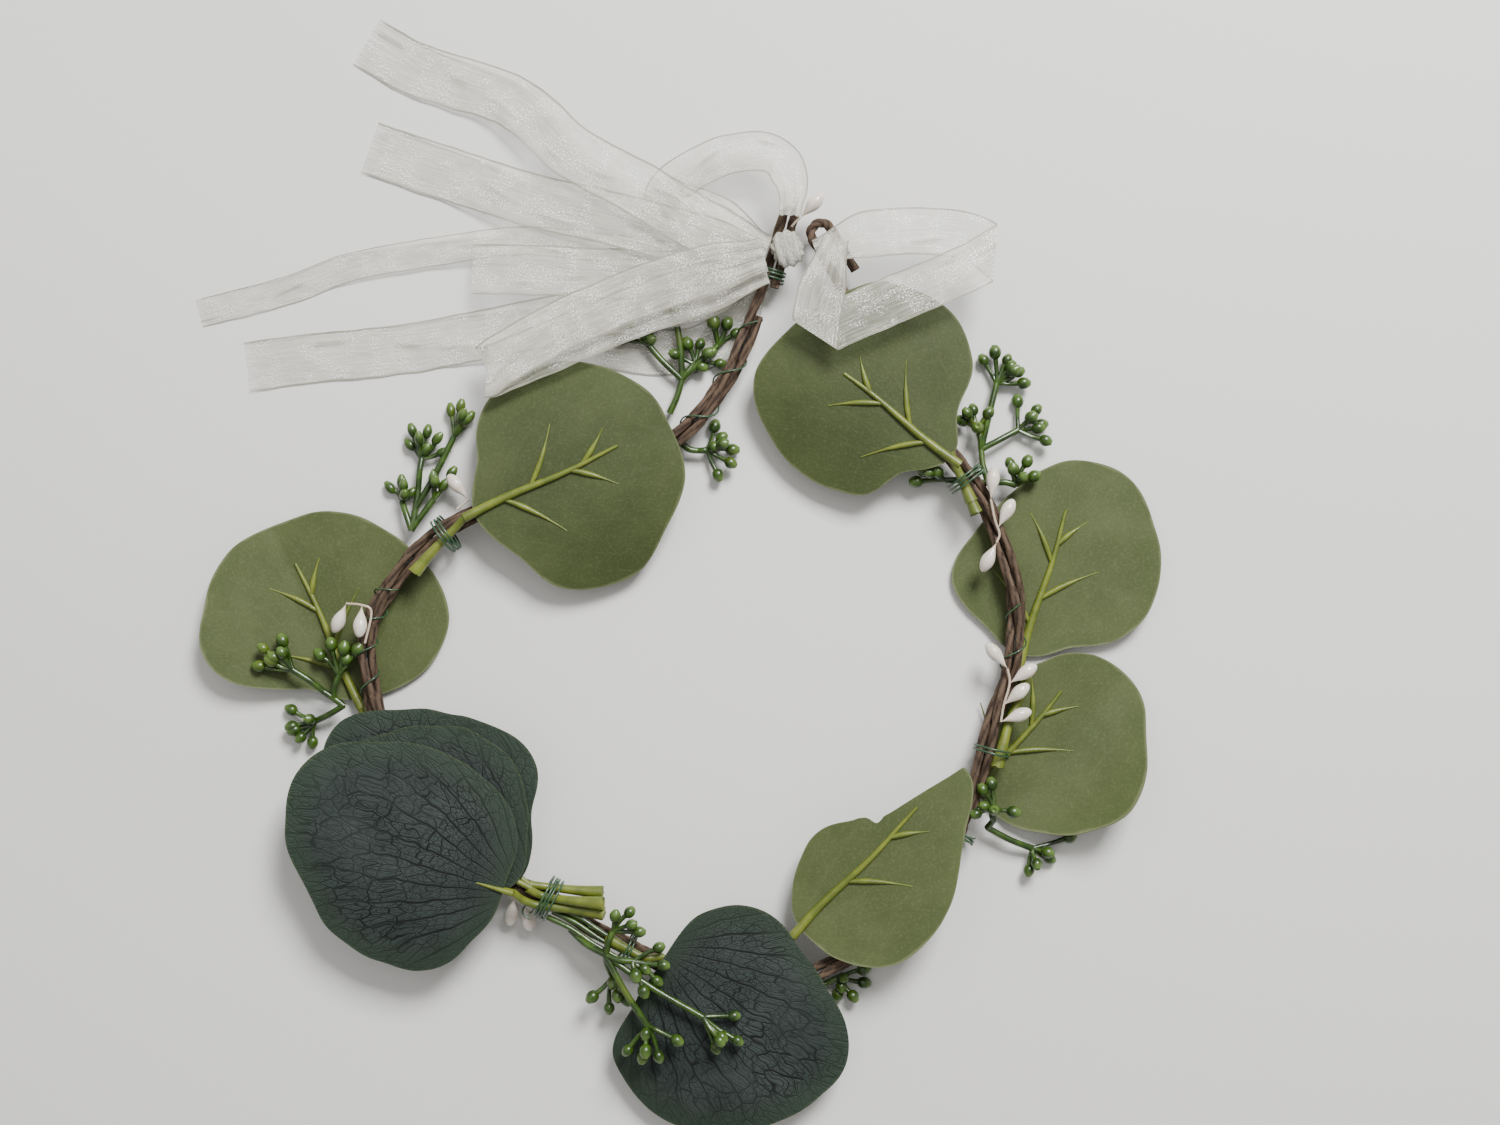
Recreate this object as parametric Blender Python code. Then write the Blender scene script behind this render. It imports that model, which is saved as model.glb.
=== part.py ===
"""Flower crown: a twisted vine hoop with eucalyptus leaves, berry sprays, stamen buds and a ribbon bow.

It lies flat on a table, +Z up. The origin is at the middle of its footprint, at table level.
Lengths are in millimetres and MM turns them into Blender's metres.
"""
import math

import bmesh
import bpy
from mathutils import Vector

MM = 0.001
FOOTPRINT_SHIFT = (0.03, 0.45)    # moves the whole crown so that its box is centred on the origin

# Hoop
HOOP_HEIGHT = 7.0                 # centreline above the table
STRAND_RADIUS = 0.95
STRAND_ORBIT = 1.6                # strand centres from the hoop's centreline
STRAND_PITCH = 84.0
CORE_RADIUS = 0.32
EYE_RADIUS = 1.3
HOOP_POINTS = [
    (26.0, 78.4), (19.0, 63.0), (10.6, 47.6), (2.2, 38.4), (-10.4, 30.8), (-27.2, 25.2), (-44.0, 19.6),
    (-58.0, 14.6), (-70.6, 5.6), (-79.8, -5.6), (-85.4, -19.6), (-83.7, -35.0), (-77.6, -53.2),
    (-66.4, -70.0), (-52.4, -82.6), (-37.0, -90.0), (-21.6, -99.4), (-6.2, -107.8), (12.0, -113.4),
    (31.6, -113.4), (48.4, -106.4), (65.2, -92.4), (76.4, -75.6), (82.6, -58.8), (87.6, -42.0),
    (92.7, -25.2), (94.1, -11.2), (91.3, 2.8), (86.2, 16.8), (77.8, 29.4), (66.6, 44.8), (56.8, 61.6),
    (48.4, 78.4)]

# Leaves
BLADE_THICKNESS = 0.6
RIB_GAP = 0.45                    # blade to rib
RIB_WIDTH = 1.5
RIB_ROOT = -1.6                   # where a rib ends, back from the blade's base
HINGE_ROOM = 0.45                 # half the gap between a rib's root and its stem
STEM_RADIUS = 1.1
STEM_END_RADIUS = 1.9

# Berries, buds, wire and ribbon
BERRY_RADIUS = 1.4
TWIG_RADIUS = 0.4
BUD_LENGTH = 9.0
BUD_RADIUS = 2.1
THREAD_RADIUS = 0.35
WIRE_RADIUS = 0.3
RIBBON_WIDTH = 15.0
RIBBON_THICKNESS = 0.6

COLOURS = {
    "vine": ((0.13, 0.07, 0.045), 0.8, 0.0),
    "steel": ((0.45, 0.45, 0.47), 0.35, 1.0),
    "pale_leaf": ((0.16, 0.2, 0.08), 0.7, 0.0),
    "dark_leaf": ((0.03, 0.05, 0.045), 0.7, 0.0),
    "rib": ((0.33, 0.38, 0.05), 0.4, 0.0),
    "berry": ((0.03, 0.12, 0.02), 0.25, 0.0),
    "bud": ((0.78, 0.72, 0.64), 0.3, 0.0),
    "wire": ((0.02, 0.06, 0.025), 0.45, 0.0),
    "ribbon": ((0.82, 0.8, 0.72), 0.5, 0.0),
}


# ---------------------------------------------------------------- helpers
def clear_scene():
    for item in list(bpy.data.objects):
        bpy.data.objects.remove(item, do_unlink=True)


def make_material(name):
    colour, roughness, metallic = COLOURS[name]
    material = bpy.data.materials.get(name)
    if material is None:
        material = bpy.data.materials.new(name)
        material.use_nodes = True
        shader = material.node_tree.nodes["Principled BSDF"]
        shader.inputs["Base Color"].default_value = (*colour, 1.0)
        shader.inputs["Roughness"].default_value = roughness
        shader.inputs["Metallic"].default_value = metallic
    return material


def add_object(name, data, material):
    data.materials.append(make_material(material))
    item = bpy.data.objects.new(name, data)
    bpy.context.scene.collection.objects.link(item)
    return item


def place(point):
    """A point in millimetres as a Blender position."""
    return Vector((point[0] + FOOTPRINT_SHIFT[0], point[1] + FOOTPRINT_SHIFT[1], point[2])) * MM


def smooth_path(points, steps):
    """A Catmull-Rom curve through the points, with this many steps from each to the next."""
    knots = [Vector(p) for p in points]
    knots = [2 * knots[0] - knots[1]] + knots + [2 * knots[-1] - knots[-2]]
    path = []
    for a, b, c, d in zip(knots, knots[1:], knots[2:], knots[3:]):
        for step in range(steps):
            t = step / steps
            path.append(0.5 * (2 * b + (c - a) * t + (2 * a - 5 * b + 4 * c - d) * t * t
                               + (3 * b - a - 3 * c + d) * t ** 3))
    return path + [knots[-2]]


def add_tube(name, points, radius, material, sides=6, end_radius=None):
    """A closed round tube along the points; it may widen towards its last point."""
    curve = bpy.data.curves.new(name, "CURVE")
    curve.dimensions = "3D"
    curve.bevel_depth = radius * MM
    curve.bevel_resolution = sides // 2 - 2
    curve.use_fill_caps = True
    spline = curve.splines.new("POLY")
    spline.points.add(len(points) - 1)
    for index, point in enumerate(points):
        spline.points[index].co = (*place(point), 1.0)
        if end_radius:
            share = index / (len(points) - 1)
            spline.points[index].radius = 1 + (end_radius / radius - 1) * share ** 3
    return add_object(name, curve, material)


def evaluated_copy(item):
    graph = bpy.context.evaluated_depsgraph_get()
    return bpy.data.meshes.new_from_object(item.evaluated_get(graph))


def as_mesh_object(item):
    """Replaces a tube's curve object with a mesh object of the same shape, its caps welded on."""
    mesh = evaluated_copy(item)
    shape = bmesh.new()
    shape.from_mesh(mesh)
    bmesh.ops.remove_doubles(shape, verts=shape.verts, dist=0.001 * MM)
    shape.to_mesh(mesh)
    shape.free()
    solid = bpy.data.objects.new(item.name, mesh)
    bpy.context.scene.collection.objects.link(solid)
    bpy.data.objects.remove(item, do_unlink=True)
    return solid


def unite(name, pieces, material):
    """Joins overlapping pieces into one closed body, one Boolean union after another."""
    solids = [as_mesh_object(piece) for piece in pieces]
    base = solids[0]
    for other in solids[1:]:
        union = base.modifiers.new("union", "BOOLEAN")
        union.operation = "UNION"
        union.solver = "MANIFOLD"     # EXACT drops pieces this small
        union.object = other
        base = as_mesh_object(base)
        bpy.data.objects.remove(other, do_unlink=True)
    base.data.materials.clear()
    base.data.materials.append(make_material(material))
    base.name = name
    return base


def solid_from_rings(name, rings, material):
    """Bridges closed rings of points, in order, into one solid with flat ends."""
    shape = bmesh.new()
    loops = [[shape.verts.new(place(p)) for p in ring] for ring in rings]
    count = len(rings[0])
    for low, high in zip(loops, loops[1:]):
        for i in range(count):
            j = (i + 1) % count
            shape.faces.new((low[i], low[j], high[j], high[i]))
    shape.faces.new(list(reversed(loops[0])))
    shape.faces.new(loops[-1])
    bmesh.ops.recalc_face_normals(shape, faces=shape.faces)
    mesh = bpy.data.meshes.new(name)
    shape.to_mesh(mesh)
    shape.free()
    return add_object(name, mesh, material)


# ---------------------------------------------------------------- hoop
def hoop_frames(spacing):
    """Evenly spaced (position, tangent, outward) along the hoop, from the left eye to the right one."""
    fine = smooth_path([(x, y, HOOP_HEIGHT) for x, y in HOOP_POINTS], 12)
    lengths = [0.0]
    for a, b in zip(fine, fine[1:]):
        lengths.append(lengths[-1] + (b - a).length)
    count = round(lengths[-1] / spacing)
    frames = []
    k = 0
    for i in range(count + 1):
        target = lengths[-1] * i / count
        while k < len(fine) - 2 and lengths[k + 1] < target:
            k += 1
        part = (target - lengths[k]) / (lengths[k + 1] - lengths[k])
        tangent = (fine[k + 1] - fine[k]).normalized()
        outward = Vector((-tangent.y, tangent.x, 0.0)) * -1
        frames.append((fine[k].lerp(fine[k + 1], part), tangent, outward))
    return frames


def eye_path(root, heading, length, width):
    """A narrow loop that leaves the root on one side and comes back on the other."""
    along = Vector((math.cos(math.radians(heading)), math.sin(math.radians(heading)), 0))
    across = Vector((-along.y, along.x, 0)) * width / 2
    start = Vector((*root, HOOP_HEIGHT))
    straight = length - width / 2
    path = [start + across, start + across + along * straight * 0.5, start + across + along * straight * 0.85]
    for step in range(5):
        angle = math.pi * step / 4
        path.append(start + across * math.cos(angle) + along * (straight + width / 2 * math.sin(angle)))
    path += [start - across + along * straight * 0.85, start - across + along * straight * 0.5,
             start - across + along * 1.0]
    return path


def make_hoop():
    frames = hoop_frames(9.5)
    spacing = (frames[1][0] - frames[0][0]).length
    inner = frames[1:-1]
    add_tube("hoop_core_wire", [f[0] for f in inner], CORE_RADIUS, "steel", sides=4)
    for strand in range(3):
        path = []
        for i, (centre, _, outward) in enumerate(inner):
            turn = 2 * math.pi * (i * spacing / STRAND_PITCH + strand / 3)
            path.append(centre + outward * STRAND_ORBIT * math.cos(turn)
                        + Vector((0, 0, STRAND_ORBIT * math.sin(turn))))
        if strand == 0:
            add_eyed_strand(path)
        else:
            add_tube(f"vine_strand_{strand + 1}", path, STRAND_RADIUS, "vine")


def add_eyed_strand(path):
    """The first strand runs on past the others and is bent back into an eye at each end."""
    left = eye_path((25.3, 77.5), 74.0, 22.5, 3.1)
    right = eye_path((47.6, 80.5), 121.0, 17.5, 5.8)
    left.reverse()
    points = left + path + right
    curve = add_tube("vine_strand_1", points, STRAND_RADIUS, "vine").data
    thick = EYE_RADIUS / STRAND_RADIUS
    for index, point in enumerate(curve.splines[0].points):
        if index < len(left) or index >= len(left) + len(path):
            point.radius = thick


# ---------------------------------------------------------------- leaves
# Each leaf: where its base is, which way its rib runs, the base-to-centre distance, and how far the
# edge reaches from the centre, every 30 degrees anticlockwise from the tip. "lift" gives the height
# of the blade's middle surface over (along the rib, to the rib's left).
LEAVES = {
    "top_right": {
        "base": (75.9, 30.2), "heading": 141.4, "centre": 27.2, "colour": "pale_leaf", "rib": 38,
        "reach": (30, 34, 30.5, 28, 26.5, 22, 26.8, 23, 28.5, 31.5, 32, 30),
        "lift": lambda u, v: 10.7 - 5.0 * (max(v, 0) / 30) ** 2 - 0.6 * (min(v + 14, 0) / 18) ** 2},
    "top_left": {
        "base": (-55.7, 15.4), "heading": 24.8, "centre": 29.8, "colour": "pale_leaf", "rib": 44,
        "reach": (30, 30, 29.5, 29.5, 30, 26, 29.6, 28, 32.5, 33.5, 31, 31.5),
        "lift": lambda u, v: 10.8 - 5.0 * (max(abs(v + 2) - 5, 0) / 26) ** 2},
    "left": {
        "base": (-88.8, -36.4), "heading": 114.3, "centre": 26.2, "colour": "pale_leaf", "rib": 42,
        "reach": (28, 30.5, 31, 32.5, 25.5, 21, 25.8, 31.5, 36, 33, 29.5, 29.5),
        "lift": lambda u, v: 1.9 + 0.2 * max(v - 2, 0) + 0.6 * (u / 60) ** 2},
    "dark_back": {
        "base": (-41.5, -85.2), "heading": 139.7, "centre": 33.4, "colour": "dark_leaf", "rib": 40,
        "reach": (33.5, 30.5, 25, 21, 19.5, 22.5, 32, 28, 30.5, 27.5, 25, 27),
        "lift": lambda u, v: 11.5 - 3.0 * (max(v, 0) / 26) ** 2},
    "dark_middle": {
        "base": (-41.6, -85.8), "heading": 149.0, "centre": 31.5, "colour": "dark_leaf", "rib": 40,
        "reach": (31, 28, 26, 24, 24, 24, 30, 28, 29.5, 29, 27, 28),
        "lift": lambda u, v: 13.7 - 3.0 * (max(v, 0) / 26) ** 2},
    "dark_front": {
        "base": (-46.2, -87.0), "heading": 163.7, "centre": 28.2, "colour": "dark_leaf", "rib": 40,
        "reach": (34, 28.5, 28, 29, 30.5, 28, 27.8, 31.5, 31.5, 32, 33.5, 38.5),
        "lift": lambda u, v: 16.2 - 3.5 * (max(v, 0) / 30) ** 2 - 0.9 * (min(v, 0) / 30) ** 2 - 0.3 * (u / 60) ** 2},
    "bottom": {
        "base": (-3.1, -106.4), "heading": -42.2, "centre": 26.8, "colour": "dark_leaf", "rib": 38,
        "reach": (31, 31.5, 27, 26.8, 31.4, 32.5, 26.4, 28.5, 35.5, 34.5, 31.5, 29.5),
        "lift": lambda u, v: 11.6 - 5.0 * (max(-v - 3, 0) / 30) ** 2 - 1.5 * (max(u - 30, 0) / 28) ** 2},
    "bottom_right": {
        "base": (33.6, -98.8), "heading": 45.7, "centre": 30.0, "colour": "pale_leaf", "rib": 47,
        "reach": (31.5, 9.5, 9.5, 12, 17, 22, 29.5, 30.5, 29.5, 25.5, 23, 25.5),
        "lift": lambda u, v: 9.2 + 0.05 * u + (0.22 * -v if v < 0 else -0.1 * v)},
    "right_lower": {
        "base": (83.2, -61.9), "heading": 49.6, "centre": 24.5, "colour": "pale_leaf", "rib": 37,
        "reach": (26.5, 18, 15.5, 13, 12.5, 14.5, 24, 28.5, 31.5, 33, 31, 30.5),
        "lift": lambda u, v: 1.7 + 11.0 * (max(-v - 8, 0) / 23) ** 2 + 0.6 * (u / 60) ** 2},
    "right_upper": {
        "base": (96.0, -24.4), "heading": 72.8, "centre": 29.1, "colour": "pale_leaf", "rib": 43,
        "reach": (28.5, 23.5, 20.5, 23, 28.5, 26.5, 28.7, 25.5, 29.5, 30.5, 29.5, 31),
        "lift": lambda u, v: 2.0 + 5.0 * (max(-v - 4, 0) / 30) ** 2},
}
BLADE_SPOKES = 24


def leaf_point(leaf, u, v, above=0.0):
    """A point of the leaf's middle surface in the crown's frame, raised by above."""
    angle = math.radians(leaf["heading"])
    x = leaf["base"][0] + u * math.cos(angle) - v * math.sin(angle)
    y = leaf["base"][1] + u * math.sin(angle) + v * math.cos(angle)
    return (x, y, leaf["lift"](u, v) + above)


def edge_reach(leaf, spoke, spokes):
    """Distance from the blade's centre to its edge, smoothly between the stated ones."""
    reach = leaf["reach"]
    place_on_list = spoke * len(reach) / spokes
    k = int(place_on_list)
    t = place_on_list - k
    a, b, c, d = (reach[(k + j) % len(reach)] for j in (-1, 0, 1, 2))
    return 0.5 * (2 * b + (c - a) * t + (2 * a - 5 * b + 4 * c - d) * t * t + (3 * b - a - 3 * c + d) * t ** 3)


def make_blade(name, leaf):
    shape = bmesh.new()
    half = BLADE_THICKNESS / 2
    layers = []
    for side in (half, -half):
        centre = shape.verts.new(place(leaf_point(leaf, leaf["centre"], 0, side)))
        rings = []
        for share in (0.45, 1.0):
            ring = []
            for spoke in range(BLADE_SPOKES):
                angle = 2 * math.pi * spoke / BLADE_SPOKES
                r = edge_reach(leaf, spoke, BLADE_SPOKES) * share
                ring.append(shape.verts.new(place(leaf_point(
                    leaf, leaf["centre"] + r * math.cos(angle), r * math.sin(angle), side))))
            rings.append(ring)
        layers.append((centre, rings))
    (top, (top_in, top_out)), (low, (low_in, low_out)) = layers
    for i in range(BLADE_SPOKES):
        j = (i + 1) % BLADE_SPOKES
        shape.faces.new((top, top_in[i], top_in[j]))
        # Both faces split their quads the same way, so that they never meet on a steep blade.
        shape.faces.new((top_in[i], top_out[i], top_out[j]))
        shape.faces.new((top_in[i], top_out[j], top_in[j]))
        shape.faces.new((low, low_in[j], low_in[i]))
        shape.faces.new((low_in[i], low_out[j], low_out[i]))
        shape.faces.new((low_in[i], low_in[j], low_out[j]))
        shape.faces.new((top_out[i], low_out[i], low_out[j], top_out[j]))
    mesh = bpy.data.meshes.new(name)
    shape.to_mesh(mesh)
    shape.free()
    return add_object(name, mesh, leaf["colour"])


def rib_patches(leaf):
    """The four-cornered patches of a moulded rib in leaf coordinates: the midrib's, then one for each side rib."""
    length = leaf["rib"]
    side_ribs = ((1, 0.28, 9), (-1, 0.42, 9), (1, 0.6, 8), (-1, 0.72, 7))
    before, after = 0.6, 1.0

    def half(u):
        return RIB_WIDTH / 2 * (1 - 0.6 * max(u, 0) / length)

    stations = {RIB_ROOT, 3.0, length}
    patches = []
    for side, share, reach in side_ribs:
        u = length * share
        start, stop = u - before, u + after
        stations |= {start, stop}
        patch = [(start, side * half(start)), (stop, side * half(stop)),
                 (u + reach * 0.75 + 0.4, side * (half(u) + reach * 0.52)),
                 (u + reach * 0.75 - 0.6, side * (half(u) + reach * 0.62))]
        patches.append(patch if side == 1 else list(reversed(patch)))
    stations = sorted(stations)
    for a, b in zip(stations, stations[1:]):
        patches.append([(a, -half(a)), (b, -half(b)), (b, half(b)), (a, half(a))])
    return patches


def make_rib(name, leaf, above):
    """A moulded rib that follows the blade, on its upper or its lower face."""
    height = 1.1 if above else 0.9
    if above:
        low = BLADE_THICKNESS / 2 + RIB_GAP
    else:
        low = -BLADE_THICKNESS / 2 - RIB_GAP - height
    shape = bmesh.new()
    corners = {}
    walls = {}
    for patch in rib_patches(leaf):
        for u, v in patch:
            if (u, v) not in corners:
                corners[u, v] = [shape.verts.new(place(leaf_point(leaf, u, v, low + rise))) for rise in (0, height)]
        shape.faces.new([corners[corner][1] for corner in patch])
        shape.faces.new([corners[corner][0] for corner in reversed(patch)])
        for a, b in zip(patch, patch[1:] + patch[:1]):
            if (b, a) in walls:
                del walls[b, a]
            else:
                walls[a, b] = True
    for a, b in walls:
        shape.faces.new((corners[a][0], corners[b][0], corners[b][1], corners[a][1]))
    bmesh.ops.recalc_face_normals(shape, faces=shape.faces)
    mesh = bpy.data.meshes.new(name)
    shape.to_mesh(mesh)
    shape.free()
    return add_object(name, mesh, "rib")


# Stem routes run from the bend at the leaf to the flared tube end, bound to the hoop on the way.
STEMS = {
    "top_left": [(-60.5, 11.4, 11.0), (-66.2, 5.6, 10.9), (-71.5, -0.5, 10.7)],
    "left": [(-85.6, -43.5, 2.7), (-80.5, -51.0, 2.5), (-74.5, -59.0, 2.5)],
    "dark_front": [(-41.5, -90.2, 12.7), (-37.1, -92.0, 11.1), (-28.6, -92.8, 10.9), (-19.6, -94.2, 10.9)],
    "bottom_right": [(29.5, -104.8, 7.2), (22.5, -109.3, 6.8), (12.0, -108.9, 6.8)],
    "right_lower": [(79.0, -70.0, 2.5), (74.0, -78.2, 2.5)],
    "right_upper": [(96.4, -32.0, 5.6), (92.4, -40.5, 7.7), (90.3, -47.0, 8.9), (88.4, -54.0, 9.4)],
}
# Stems of leaves that stay one piece with their rib.
FIXED_STEMS = {
    "top_right": [(76.6, 29.0, 11.6), (78.0, 25.6, 11.3), (80.4, 20.3, 11.2), (82.4, 15.6, 11.2)],
    "dark_back": [(-40.3, -86.2, 10.6), (-34.6, -87.2, 9.1), (-28.0, -88.0, 9.2), (-20.0, -88.6, 9.6)],
    "dark_middle": [(-40.4, -87.0, 12.8), (-35.7, -89.5, 11.1), (-28.0, -90.3, 12.7), (-19.6, -90.8, 13.8)],
    "bottom": [(-3.8, -106.0, 10.7), (-8.5, -106.2, 11.2), (-14.0, -103.4, 11.2), (-19.0, -100.6, 11.2)],
}


def make_leaves():
    for key, leaf in LEAVES.items():
        pale = leaf["colour"] == "pale_leaf"
        make_blade(f"leaf_{key}", leaf)
        rib = make_rib(f"rib_{key}", leaf, pale)
        if key in STEMS:
            side = 1 if pale else -1
            hinge = leaf_point(leaf, RIB_ROOT - 2 * HINGE_ROOM, 0, side * (BLADE_THICKNESS / 2 + RIB_GAP + 0.5))
            path = smooth_path([hinge] + STEMS[key], 3)
            add_tube(f"stem_{key}", path, STEM_RADIUS, "rib", end_radius=STEM_END_RADIUS)
        else:
            path = smooth_path(FIXED_STEMS[key], 2)
            stem = add_tube("stem", path, STEM_RADIUS, "rib", end_radius=STEM_END_RADIUS)
            unite(f"rib_{key}", [rib, stem], "rib")


# ---------------------------------------------------------------- berry sprays
# A spray has a stem along its points and umbels: (hub, the stem point it leaves from, berry places).
SPRAYS = {
    "top": ([(-2.0, 43.6, 3.4), (0.0, 48.0, 3.2), (1.5, 53.0, 3.0)], [
        ((-0.5, 71.0, 2.6), 2, [(-6.0, 75.0), (-1.5, 77.0), (4.5, 76.0)]),
        ((-8.5, 63.5, 2.6), 2, [(-15.5, 64.5), (-13.5, 68.5), (-8.0, 69.5)]),
        ((4.5, 58.0, 2.6), 2, [(5.5, 63.5), (9.5, 61.0), (0.0, 60.5)]),
        ((11.5, 63.0, 2.6), 2, [(9.5, 68.5), (14.0, 67.5)])]),
    "top_left": ([(-73.5, 11.0, 5.0), (-72.5, 17.0, 4.2), (-71.8, 22.5, 3.6)], [
        ((-71.0, 31.0, 3.0), 2, [(-74.5, 35.0), (-71.5, 38.5), (-66.5, 36.5), (-65.5, 32.5)]),
        ((-62.5, 36.5, 3.4), 1, [(-63.5, 43.0), (-59.5, 42.5)]),
        ((-76.5, 19.0, 2.8), 0, [(-80.0, 23.0), (-76.0, 24.0)])]),
    "left": ([(-92.0, -37.5, 6.5), (-94.5, -35.5, 6.8), (-97.5, -33.5, 7.0)], [
        ((-105.5, -27.5, 8.6), 2, [(-114.0, -27.0), (-112.0, -21.5), (-107.0, -20.5)]),
        ((-93.0, -29.0, 7.4), 1, [(-98.5, -23.5), (-93.5, -21.5)]),
        ((-100.5, -42.0, 2.6), 0, [(-107.0, -42.5), (-102.5, -48.0)])]),
    "bottom": ([(-29.0, -99.0, 8.5), (-24.5, -102.5, 11.2), (-19.0, -105.0, 13.4)], [
        ((-17.0, -97.0, 13.6), 2, [(-12.0, -92.5), (-10.0, -97.5)]),
        ((-11.5, -107.5, 14.2), 2, [(-4.5, -103.0), (-3.0, -108.5)]),
        ((-18.5, -113.5, 7.5), 2, [(-20.5, -120.5), (-24.5, -116.5)]),
        ((-7.5, -123.0, 14.4), 2, [(-13.0, -130.5), (-7.5, -131.5), (-2.0, -129.0)]),
        ((7.5, -121.0, 15.0), 2, [(16.0, -121.0), (16.0, -127.5), (10.5, -129.5)])]),
    "bottom_right": ([(38.5, -115.6, 5.0), (41.5, -114.8, 4.2)], [
        ((45.5, -113.4, 2.6), 1, [(46.5, -119.0), (51.5, -117.0), (52.0, -111.5)])]),
    "right_low": ([(86.3, -71.5, 4.8), (87.6, -69.0, 7.5)], [
        ((87.6, -66.0, 9.0), 1, [(86.9, -59.5), (93.5, -67.0)]),
        ((99.0, -77.5, 2.6), 0, [(104.0, -80.5), (98.0, -83.5)])]),
    "right_top": ([(86.5, 24.0, 5.6), (85.0, 29.0, 5.0), (84.6, 33.5, 4.4)], [
        ((89.0, 52.0, 3.2), 2, [(85.5, 59.0), (91.0, 59.5), (96.5, 55.0)]),
        ((95.0, 39.0, 3.0), 2, [(95.0, 47.0), (100.5, 43.0), (102.5, 36.5)]),
        ((83.5, 40.0, 4.2), 2, [(82.5, 46.0), (87.5, 44.5)]),
        ((94.0, 23.5, 6.2), 0, [(93.5, 30.0), (99.0, 27.0)])]),
}
TIP_RISE = (-1.2, 0.6, -0.6, 1.0)     # berry heights over their hub, in turn


def add_berry(centre):
    shape = bmesh.new()
    bmesh.ops.create_icosphere(shape, subdivisions=1, radius=BERRY_RADIUS * MM)
    bmesh.ops.translate(shape, verts=shape.verts, vec=place(centre))
    mesh = bpy.data.meshes.new("berry")
    shape.to_mesh(mesh)
    shape.free()
    return add_object("berry", mesh, "berry")


def make_sprays():
    for key, (stem, umbels) in SPRAYS.items():
        pieces = [add_tube("stem", stem, 0.55, "berry")]
        for hub, joint, places in umbels:
            root = Vector(stem[joint])
            overrun = (Vector(hub) - root).normalized() * 0.4
            pieces.append(add_tube("branch", [root - overrun, Vector(hub) + overrun], TWIG_RADIUS + 0.08, "berry"))
            for index, (x, y) in enumerate(places):
                tip = Vector((x, y, hub[2] + TIP_RISE[index % len(TIP_RISE)]))
                start = Vector(hub) - (tip - Vector(hub)).normalized() * 0.2
                pieces.append(add_tube("twig", [start, tip], TWIG_RADIUS, "berry", sides=4))
                pieces.append(add_berry(tip))
        unite(f"berry_spray_{key}", pieces, "berry")


# ---------------------------------------------------------------- stamen buds
# A pick has a thread and buds on it: (narrow end, round end).
BUD_PROFILE = ((0.0, 0.16), (0.3, 0.42), (0.62, 0.95), (0.82, 1.0), (0.95, 0.6))
BUD_PICKS = {
    "left": ([(-90.6, -9.2, 9.4), (-86.0, -9.6, 10.9), (-83.4, -11.5, 10.8), (-85.2, -20.0, 10.7)],
             [((-90.6, -9.2, 9.4), (-94.2, -17.0, 8.2)), ((-86.0, -9.6, 10.9), (-86.4, -18.2, 12.6))]),
    "front": ([(-45.0, -90.6, 6.0), (-43.4, -91.2, 6.4), (-42.0, -92.0, 6.6)],
              [((-45.0, -90.6, 6.0), (-46.4, -98.2, 3.2)), ((-42.0, -92.0, 6.6), (-40.6, -100.0, 3.6))]),
    "top_left": ([(-57.5, 19.6, 6.0), (-59.0, 18.2, 6.6), (-60.6, 16.8, 7.0)],
                 [((-57.5, 19.6, 6.0), (-63.5, 26.6, 5.4))]),
    "eye": ([(34.2, 96.8, 9.6), (32.8, 95.6, 9.3), (31.8, 94.4, 9.2)],
            [((34.2, 96.8, 9.6), (40.4, 103.2, 10.2))]),
    "right_upper": ([(86.4, 19.4, 11.0), (87.6, 13.6, 11.0), (88.8, 10.0, 10.9), (88.0, 7.6, 11.0)],
                    [((86.4, 19.4, 11.0), (87.4, 28.2, 10.0)), ((88.4, 11.6, 11.1), (92.8, 19.6, 10.2)),
                     ((88.0, 7.6, 11.0), (84.4, 0.0, 9.6))]),
    "right_lower": ([(91.0, -27.0, 10.9), (91.6, -31.0, 10.8), (90.0, -37.0, 10.8), (89.2, -41.6, 10.7)],
                    [((91.0, -27.0, 10.9), (85.6, -20.4, 9.6)), ((91.6, -31.0, 10.8), (99.6, -25.6, 10.4)),
                     ((90.0, -37.0, 10.8), (96.8, -31.4, 10.4)), ((89.2, -41.6, 10.7), (98.2, -38.4, 10.2))]),
}


def add_bud(low, high):
    """A drop turned round the line from its narrow end to its round end."""
    start = Vector(low)
    along = Vector(high) - start
    side = along.cross(Vector((0, 0, 1))).normalized()
    up = side.cross(along).normalized()
    rings = []
    for share, width in BUD_PROFILE:
        ring = []
        for step in range(8):
            angle = 2 * math.pi * step / 8
            radius = BUD_RADIUS * width
            ring.append(start + along * share + side * radius * math.cos(angle) + up * radius * math.sin(angle))
        rings.append(ring)
    return solid_from_rings("bud", rings, "bud")


def make_buds():
    for key, (thread, buds) in BUD_PICKS.items():
        pieces = [add_tube("thread", thread, THREAD_RADIUS, "bud")]
        pieces += [add_bud(low, high) for low, high in buds]
        unite(f"bud_pick_{key}", pieces, "bud")


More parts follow.
